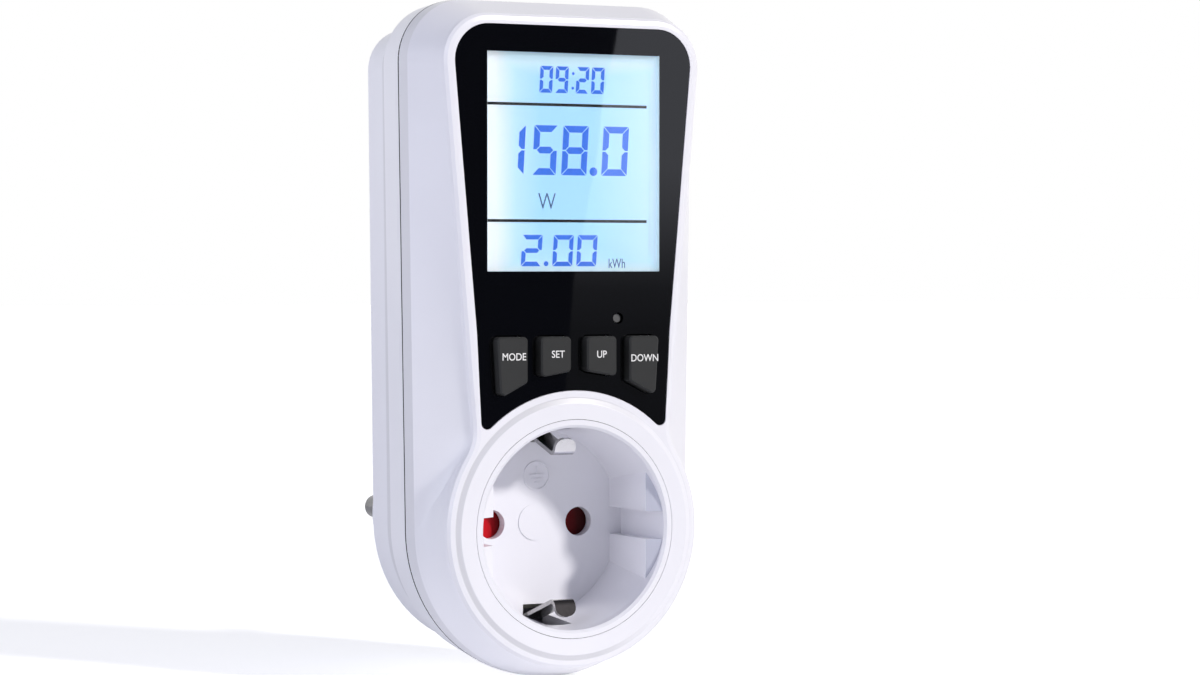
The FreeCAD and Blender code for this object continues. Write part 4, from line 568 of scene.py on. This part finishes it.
def display():
    """Lit field, dividing lines, digits and unit signs on the glass; returns the lit material."""
    inset = FIELD_INSET * MM
    field = Flat(GLASS_Y, FIELD_THICKNESS * MM)
    field.bar(WINDOW_LOW.x + inset, WINDOW_LOW.z + inset,
              WINDOW_HIGH.x - inset, WINDOW_HIGH.z - inset)
    lit = display_material()
    field.build("lcd_field", lit)
    face = GLASS_Y - SIGN_THICKNESS * MM
    lines = Flat(face, SIGN_THICKNESS * MM)
    for level in LINE_LEVELS:
        lines.bar(WINDOW_LOW.x + LINE_INSET * MM, (level - LINE_HALF) * MM,
                  LINE_RIGHT * MM, (level + LINE_HALF) * MM)
    lines.build("lcd_lines", ink("segment_black", (0.004, 0.005, 0.007)))
    digits = Flat(face, SIGN_THICKNESS * MM)
    for row in DIGIT_ROWS:
        digit_row(digits, row)
    digits.build("lcd_digits", ink("segment_blue", (0.030, 0.160, 0.760), glow=0.35))
    grey = ink("segment_grey_blue", (0.055, 0.125, 0.300), glow=0.2)
    for name, word, size, centre, narrow, heavy in UNITS:
        letters(name, word, size, centre, face, grey, narrow=narrow, heavy=heavy)
    return lit


def window_edges(lit):
    """The window's side edges, glowing in the display's colours: painted light from the display
    behind.
    """
    near, far = WINDOW_LOW.y + EDGE_GAP * MM, GLASS_Y - EDGE_BACK * MM
    low, high = WINDOW_LOW.z + EDGE_GAP * MM, WINDOW_HIGH.z - EDGE_GAP * MM
    start, end = EDGE_INSIDE
    for side, outer, inner in (
            ("left", WINDOW_LOW.x + start * MM, WINDOW_LOW.x + end * MM),
            ("right", WINDOW_HIGH.x - start * MM, WINDOW_HIGH.x - end * MM)):
        outline = [(outer, near), (outer, far), (inner, far), (inner, near)]
        vertices = [(x, y, z) for z in (low, high) for x, y in outline]
        piece = mesh_piece("window_edge_" + side, vertices, prism_faces(len(outline)), lit)
        turn_outward(piece.data)


def key_legends():
    """White printed words on the four keys."""
    white = ink("legend_white", (0.86, 0.86, 0.86))
    for key, (word, centre) in LEGENDS.items():
        low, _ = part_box("key_" + key)
        letters("legend_" + key, word, LEGEND_SIZE, centre, low.y - LEGEND_LIFT * MM, white,
                "key_" + key, narrow=LEGEND_NARROW, heavy=LEGEND_HEAVY)


# Socket, earth clips and shutter spring

RECESS_FLOOR = -20.9
# The earth sign: centre, inner and outer radius of its ring, and how far it stands proud; its
# bars' heights over the centre, half lengths and half width; and its stem.
SIGN_CENTRE, SIGN_RING, SIGN_HEIGHT = (0.3, 9.3), (2.62, 2.86), 0.22
SIGN_BARS, BAR_HALF = ((0.15, 1.55), (-0.65, 1.05), (-1.4, 0.5)), 0.12
STEM_HALF, STEM_FOOT, STEM_TOP = 0.13, 0.27, 1.75
# The plain round boss in the middle of the recess.
BOSS_CENTRE, BOSS_RADIUS, BOSS_HEIGHT, BOSS_SIDES = (-0.1, 0.2), 3.55, 0.18, 64

# Guide ribs: their edge and the recess wall as distances from the axis, half the notch between
# two ribs, the ribs' front end as a distance from the wall, and the bevel's rise per millimetre.
RIB_EDGE, RECESS_WALL, NOTCH_HALF = 16.41, 19.42, 2.71
RIB_FRONT, BEVEL_SLOPE, BEVEL_STEPS = 36.04, 0.60, 8

# Earth clips' tongues: half width, corner radius, the end's place and direction as (y, z), and
# the degrees round the corner where the mesh is cut.
TONGUE_HALF, TONGUE_RADIUS = 2.2, 1.75
TONGUE_END, TONGUE_RUN = (-34.58, 17.08), (-0.2956, 0.9553)
CORNER_CUTS = (6, 18, 32, 48, 66)
# A tongue's tip lies in front of TIP_Y and beyond TIP_HEIGHT. A painted highlight (upper tip) or
# painted shade (lower tip) goes on the faces in front of TIP_FACES_Y that look less sideways than
# TIP_SIDEWAYS.
TIP_Y, TIP_HEIGHT, TIP_FACES_Y, TIP_SIDEWAYS = -33.2, 15.0, -33.0, 0.2
WELD, CUT_REACH, SHARP_ANGLE = 0.000002, 1e-7, 35


def recess_signs():
    """Raised earth sign in its ring, and the plain round boss, on the floor of the recess."""
    white = MATERIALS["cover_white"]
    sign = Flat(RECESS_FLOOR * MM, SIGN_HEIGHT * MM)
    x, z = (value * MM for value in SIGN_CENTRE)
    inner, outer = (radius * MM for radius in SIGN_RING)
    sign.ring(x, z, inner, outer)
    for rise, half in SIGN_BARS:
        sign.bar(x - half * MM, z + (rise - BAR_HALF) * MM,
                 x + half * MM, z + (rise + BAR_HALF) * MM)
    sign.bar(x - STEM_HALF * MM, z + STEM_FOOT * MM, x + STEM_HALF * MM, z + STEM_TOP * MM)
    sign.build("earth_sign", white)
    boss = Flat(RECESS_FLOOR * MM, BOSS_HEIGHT * MM)
    boss.disc(BOSS_CENTRE[0] * MM, BOSS_CENTRE[1] * MM, BOSS_RADIUS * MM, count=BOSS_SIDES)
    boss.build("recess_disc", white)


def rib_bevels():
    """Sloping front ends of the four guide ribs, rising from the rib's edge to the recess wall."""
    first, last = math.asin(NOTCH_HALF / RECESS_WALL), math.acos(RIB_EDGE / RECESS_WALL)
    turns = [first + (last - first) * k / BEVEL_STEPS for k in range(BEVEL_STEPS + 1)]
    outline = [(RIB_EDGE, NOTCH_HALF)]
    outline += [(RECESS_WALL * math.cos(turn), RECESS_WALL * math.sin(turn)) for turn in turns]
    front = [(x, RIB_FRONT + (x - RIB_EDGE) * BEVEL_SLOPE, z) for x, z in outline]
    back = [(x, RIB_FRONT, z) for x, z in outline]
    # The right ribs' slopes get a darker, bluer white: painted shade, as they look away from the
    # light.
    shaded = plastic("moulded_white_bevel_painted_shade", (0.56, 0.575, 0.68), 0.35, grain=3200.0,
                     depth=0.000012, spread=0.012)
    for side, across, material in (("right", 1, shaded), ("left", -1, MATERIALS["cover_white"])):
        for end, up in (("up", 1), ("down", -1)):
            vertices = [(across * x * MM, -level * MM, up * z * MM)
                        for x, level, z in front + back]
            piece = mesh_piece("rib_bevel_%s_%s" % (side, end), vertices,
                               prism_faces(len(outline)), material)
            turn_outward(piece.data)


def round_tongue(shell, up):
    """Cut one tongue of the earth strap across near its end and pull the corners in to a round."""
    radius = TONGUE_RADIUS * MM
    end = Vector((0, TONGUE_END[0] * MM, up * TONGUE_END[1] * MM))
    run = Vector((0, TONGUE_RUN[0], up * TONGUE_RUN[1]))
    for turn in CORNER_CUTS:
        place = end - run * radius * (1 - math.sin(math.radians(turn)))
        bmesh.ops.bisect_plane(shell, geom=shell.verts[:] + shell.edges[:] + shell.faces[:],
                               plane_co=place, plane_no=run, dist=CUT_REACH)
    for vertex in shell.verts:
        back = (end - vertex.co).dot(run)
        at_tip = vertex.co.y < TIP_Y * MM and vertex.co.z * up > TIP_HEIGHT * MM
        if back < radius and at_tip:
            short = radius - max(back, 0.0)
            width = TONGUE_HALF * MM - radius + math.sqrt(max(radius ** 2 - short ** 2, 0.0))
            vertex.co.x = math.copysign(width, vertex.co.x)


def earth_clips():
    """The socket's earth strap, rounded tips: painted highlight on the upper, painted shade on the
    lower.
    """
    shell = bmesh.new()
    shell.from_mesh(NODES["socket_earth_strap"].data)
    bmesh.ops.remove_doubles(shell, verts=shell.verts, dist=WELD)
    for up in (1, -1):
        round_tongue(shell, up)
    bmesh.ops.recalc_face_normals(shell, faces=shell.faces)
    shell.verts.index_update()
    vertices = [vertex.co.copy() for vertex in shell.verts]
    faces = [[vertex.index for vertex in face.verts] for face in shell.faces]
    shell.free()
    strap = mesh_piece("earth_strap_rounded", vertices, faces, MATERIALS["nickel"])
    for name, colour, roughness in (("nickel_painted_highlight", (0.88, 0.87, 0.90), 0.24),
                                    ("nickel_painted_shade", (0.030, 0.028, 0.030), 0.55)):
        strap.data.materials.append(metal(name, colour, roughness, stretch=STRIP_LINES, dull=0.1))
    upper_painted_highlight, lower_painted_shade = 1, 2
    for face in strap.data.polygons:
        face.use_smooth = True
        if face.center.y < TIP_FACES_Y * MM and abs(face.normal.x) < TIP_SIDEWAYS:
            face.material_index = upper_painted_highlight if face.center.z > 0 else lower_painted_shade
    strap.data.set_sharp_from_angle(angle=math.radians(SHARP_ANGLE))
    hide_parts("socket_earth_strap")


def leaf_spring():
    """The shutter's leaf spring, in its node's place."""
    source = NODES["shutter_spring"].data
    vertices = [vertex.co.copy() for vertex in source.vertices]
    faces = [list(face.vertices) for face in source.polygons]
    spring = mesh_piece("shutter_spring_leaf", vertices, faces, MATERIALS["spring_steel"])
    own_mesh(spring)
    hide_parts("shutter_spring")


# Parting gaps

# The gap between the covers: its sides as distances from the wall, the lift that brings its
# painted-shade strip to its mouth, how much wider than the gap the strip is on each side, and the
# most that a face of the strip may look along y.
SEAM_LEVELS, SEAM_LIFT, SEAM_WIDEN, SEAM_FACES_Y = (24.44, 24.81), 0.81, 0.03, 0.3
# The gap round the socket insert: its radii, and its painted-shade ring's depth, thickness and
# sides.
INSERT_GAP, INSERT_GAP_DEPTH = (20.74, 21.06), 0.24
INSERT_GAP_THICKNESS, INSERT_GAP_SIDES = 0.03, 96


def gap_shades():
    """Painted shade in the two thin parting gaps: dark strips between the covers and round the
    insert.
    """
    dark = plastic("gap_shade", (0.006, 0.006, 0.007), 0.9, specular=0.0)
    cover = NODES["rear_cover"]
    near, far = (-level * MM for level in reversed(SEAM_LEVELS))
    vertices, faces = [], []
    for polygon in cover.data.polygons:
        corners = [cover.matrix_world @ cover.data.vertices[index].co for index in polygon.vertices]
        inside = all(near < corner.y < far for corner in corners)
        if inside and abs(polygon.normal.y) < SEAM_FACES_Y:
            faces.append([len(vertices) + k for k in range(len(corners))])
            for corner in corners:
                widen = math.copysign(SEAM_WIDEN * MM, corner.y - (near + far) / 2)
                vertices.append(corner + polygon.normal * SEAM_LIFT * MM + Vector((0, widen, 0)))
    mesh_piece("seam_shade", vertices, faces, dark)
    ring = Flat(INSERT_Y + INSERT_GAP_DEPTH * MM, INSERT_GAP_THICKNESS * MM)
    inner, outer = (radius * MM for radius in INSERT_GAP)
    ring.ring(0, 0, inner, outer, count=INSERT_GAP_SIDES)
    ring.build("insert_gap_shade", dark)


# Stage

# The even light: its colour and strength.
SKY_TINT, SKY_LEVEL = (0.76, 0.79, 1.0), 0.19
# The floor's half side in metres, its gap under the part, and its own light: as the camera sees
# it, and as everything else does.
FLOOR_HALF, FLOOR_GAP, FLOOR_LIFT, FLOOR_GLOW = 6.0, 0.2, 0.60, 0.19
# The camera: place, direction, lens and sensor width in millimetres, and clipping distances.
CAMERA_PLACE = Vector((-0.28558, -0.59520, 0.04986))
CAMERA_AIM = Vector((0.46281, 0.88618, -0.02106))
CAMERA_LENS, CAMERA_SENSOR, CAMERA_REACH = 98.24, 36.0, (0.01, 50.0)
# The sun-like key light and the rectangular fill: place, direction or target, power and colour.
KEY_FROM = Vector((0.66, -1.0, 0.62))
KEY_POWER, KEY_ANGLE, KEY_COLOUR = 2.26, 7, (1.0, 0.966, 0.925)
FILL_FROM, FILL_TARGET = Vector((-1.2, -0.2, 0.35)), Vector((0.0, -0.02, 0.035))
FILL_SIZE, FILL_POWER, FILL_COLOUR = (0.9, 1.2), 7.0, (0.83, 0.86, 1.0)

# The sheen across the glossy fascia: the cards' plane in metres; then, as they are mirrored in the
# fascia, their reach to the sides, the slanted edge between them as (x, z), and the pale card's
# light at heights on it.
CARD_Y, CARD_REACH = -0.75, 60
SHEEN_EDGE = [(12.5, 112.0), (8.5, 91.4), (6.2, 82.2), (5.1, 72.6), (2.3, 59.1), (-0.1, 48.4),
              (-3.0, 14.0)]
DARK_CARD, PALE_TINT = (0.050, 0.055, 0.078), (1.0, 1.03, 1.15)
PALE_LEVELS = [(14, 0.11), (38, 0.14), (46, 0.21), (50, 0.34), (54, 0.50), (62, 0.83),
               (70, 1.06), (112, 1.12)]


def aimed(name, data, place, direction):
    """New object at a place, looking along a direction."""
    made = new_object(name, data)
    made.location = place
    made.rotation_mode = "QUATERNION"
    made.rotation_quaternion = direction.to_track_quat("-Z", "Y")
    return made


def new_light(name, kind, power, colour):
    data = bpy.data.lights.new(name, kind)
    data.energy = power
    data.color = colour
    return data


def world():
    """Soft even light; plain white where it is seen directly or mirrored."""
    made = Nodes(bpy.data.worlds.new("studio"), "OutputWorld")
    rays = made.add("LightPath").outputs
    seen = rays["Is Camera Ray"]
    for kind in ("Is Glossy Ray", "Is Transmission Ray"):
        either = made.add("Math", operation="MAXIMUM")
        made.link(seen, either.inputs[0])
        made.link(rays[kind], either.inputs[1])
        seen = either.outputs[0]
    mix = made.feed(made.add("MixShader"), Fac=seen)
    soft = made.add("Background", Color=(*SKY_TINT, 1), Strength=SKY_LEVEL)
    white = made.add("Background", Color=(1, 1, 1, 1), Strength=1.0)
    made.link(soft.outputs[0], mix.inputs[1])
    made.link(white.outputs[0], mix.inputs[2])
    made.surface(mix.outputs[0])
    bpy.context.scene.world = made.owner


def floor():
    """Plain pale floor just under the housing; it keeps the soft shadow."""
    made = new_material("floor")
    grain = made.ramp(made.noise(4.0), [(0.3, (0.93, 0.93, 0.94)), (0.7, (0.95, 0.95, 0.96))])
    shader = made.feed(made.principled(Roughness=0.9), Base_Color=grain)
    direct = made.add("LightPath").outputs["Is Camera Ray"]
    shine = made.feed(made.add("Emission"), Strength=made.between(direct, FLOOR_GLOW, FLOOR_LIFT))
    both = made.add("AddShader")
    made.link(shader.outputs["BSDF"], both.inputs[0])
    made.link(shine.outputs["Emission"], both.inputs[1])
    made.surface(both.outputs["Shader"])
    half, level = FLOOR_HALF, CAD_BOX[0][2] - FLOOR_GAP * MM
    corners = [(x * half, y * half, level) for x, y in ((-1, -1), (1, -1), (1, 1), (-1, 1))]
    mesh = new_mesh("floor", corners, [(0, 1, 2, 3)])
    mesh.materials.append(made.owner)
    plane = new_object("floor", mesh)


def camera():
    """The photo's camera, recovered from the socket's and the plug's standard geometry."""
    data = bpy.data.cameras.new("camera")
    data.lens, data.sensor_width = CAMERA_LENS, CAMERA_SENSOR
    data.clip_start, data.clip_end = CAMERA_REACH
    bpy.context.scene.camera = aimed("camera", data, CAMERA_PLACE, CAMERA_AIM)


def mirrored(x, z):
    """Point of the card plane that the camera sees mirrored at x, z of the glossy fascia."""
    eye_behind = Vector((CAMERA_PLACE.x, 2 * FASCIA_Y - CAMERA_PLACE.y, CAMERA_PLACE.z))
    spot = Vector((x * MM, FASCIA_Y, z * MM))
    step = (CARD_Y - eye_behind.y) / (spot.y - eye_behind.y)
    return eye_behind + (spot - eye_behind) * step


def card(name, corners, stops):
    """Studio card that only shiny surfaces see; its level changes from bottom to top."""
    made = new_material(name)
    colours = made.ramp(made.axes("Generated")["Z"], stops)
    made.surface(made.feed(made.add("Emission"), Color=colours).outputs["Emission"])
    mesh = new_mesh(name, corners, [tuple(range(len(corners)))])
    mesh.materials.append(made.owner)
    piece = new_object(name, mesh)
    piece.visible_camera = piece.visible_diffuse = piece.visible_shadow = False


def reflector():
    """Dark card and pale card side by side: the slanted sheen across the fascia and window."""
    high, low = SHEEN_EDGE[0][1], SHEEN_EDGE[-1][1]
    edge = [mirrored(*spot) for spot in SHEEN_EDGE]
    left = [mirrored(-CARD_REACH, low), mirrored(-CARD_REACH, high)]
    right = [mirrored(CARD_REACH, high), mirrored(CARD_REACH, low)]
    pale = [((z - low) / (high - low), [level * tone for tone in PALE_TINT])
            for z, level in PALE_LEVELS]
    card("dark_card", left + edge, [(0.0, DARK_CARD), (1.0, DARK_CARD)])
    card("pale_card", right + edge[::-1], pale)


def lights():
    """Main light from the upper right front, and a cool fill from the left."""
    key = new_light("key", "SUN", KEY_POWER, KEY_COLOUR)
    key.angle = math.radians(KEY_ANGLE)
    aimed("key", key, KEY_FROM, -KEY_FROM)
    fill = new_light("left_fill", "AREA", FILL_POWER, FILL_COLOUR)
    fill.shape = "RECTANGLE"
    fill.size, fill.size_y = FILL_SIZE
    aimed("left_fill", fill, FILL_FROM, FILL_TARGET - FILL_FROM)


dress_nodes()
lit_field = display()
key_legends()
recess_signs()
rib_bevels()
earth_clips()
leaf_spring()
window_edges(lit_field)
gap_shades()
world()
floor()
camera()
reflector()
lights()
bpy.context.scene.view_settings.view_transform = "Standard"
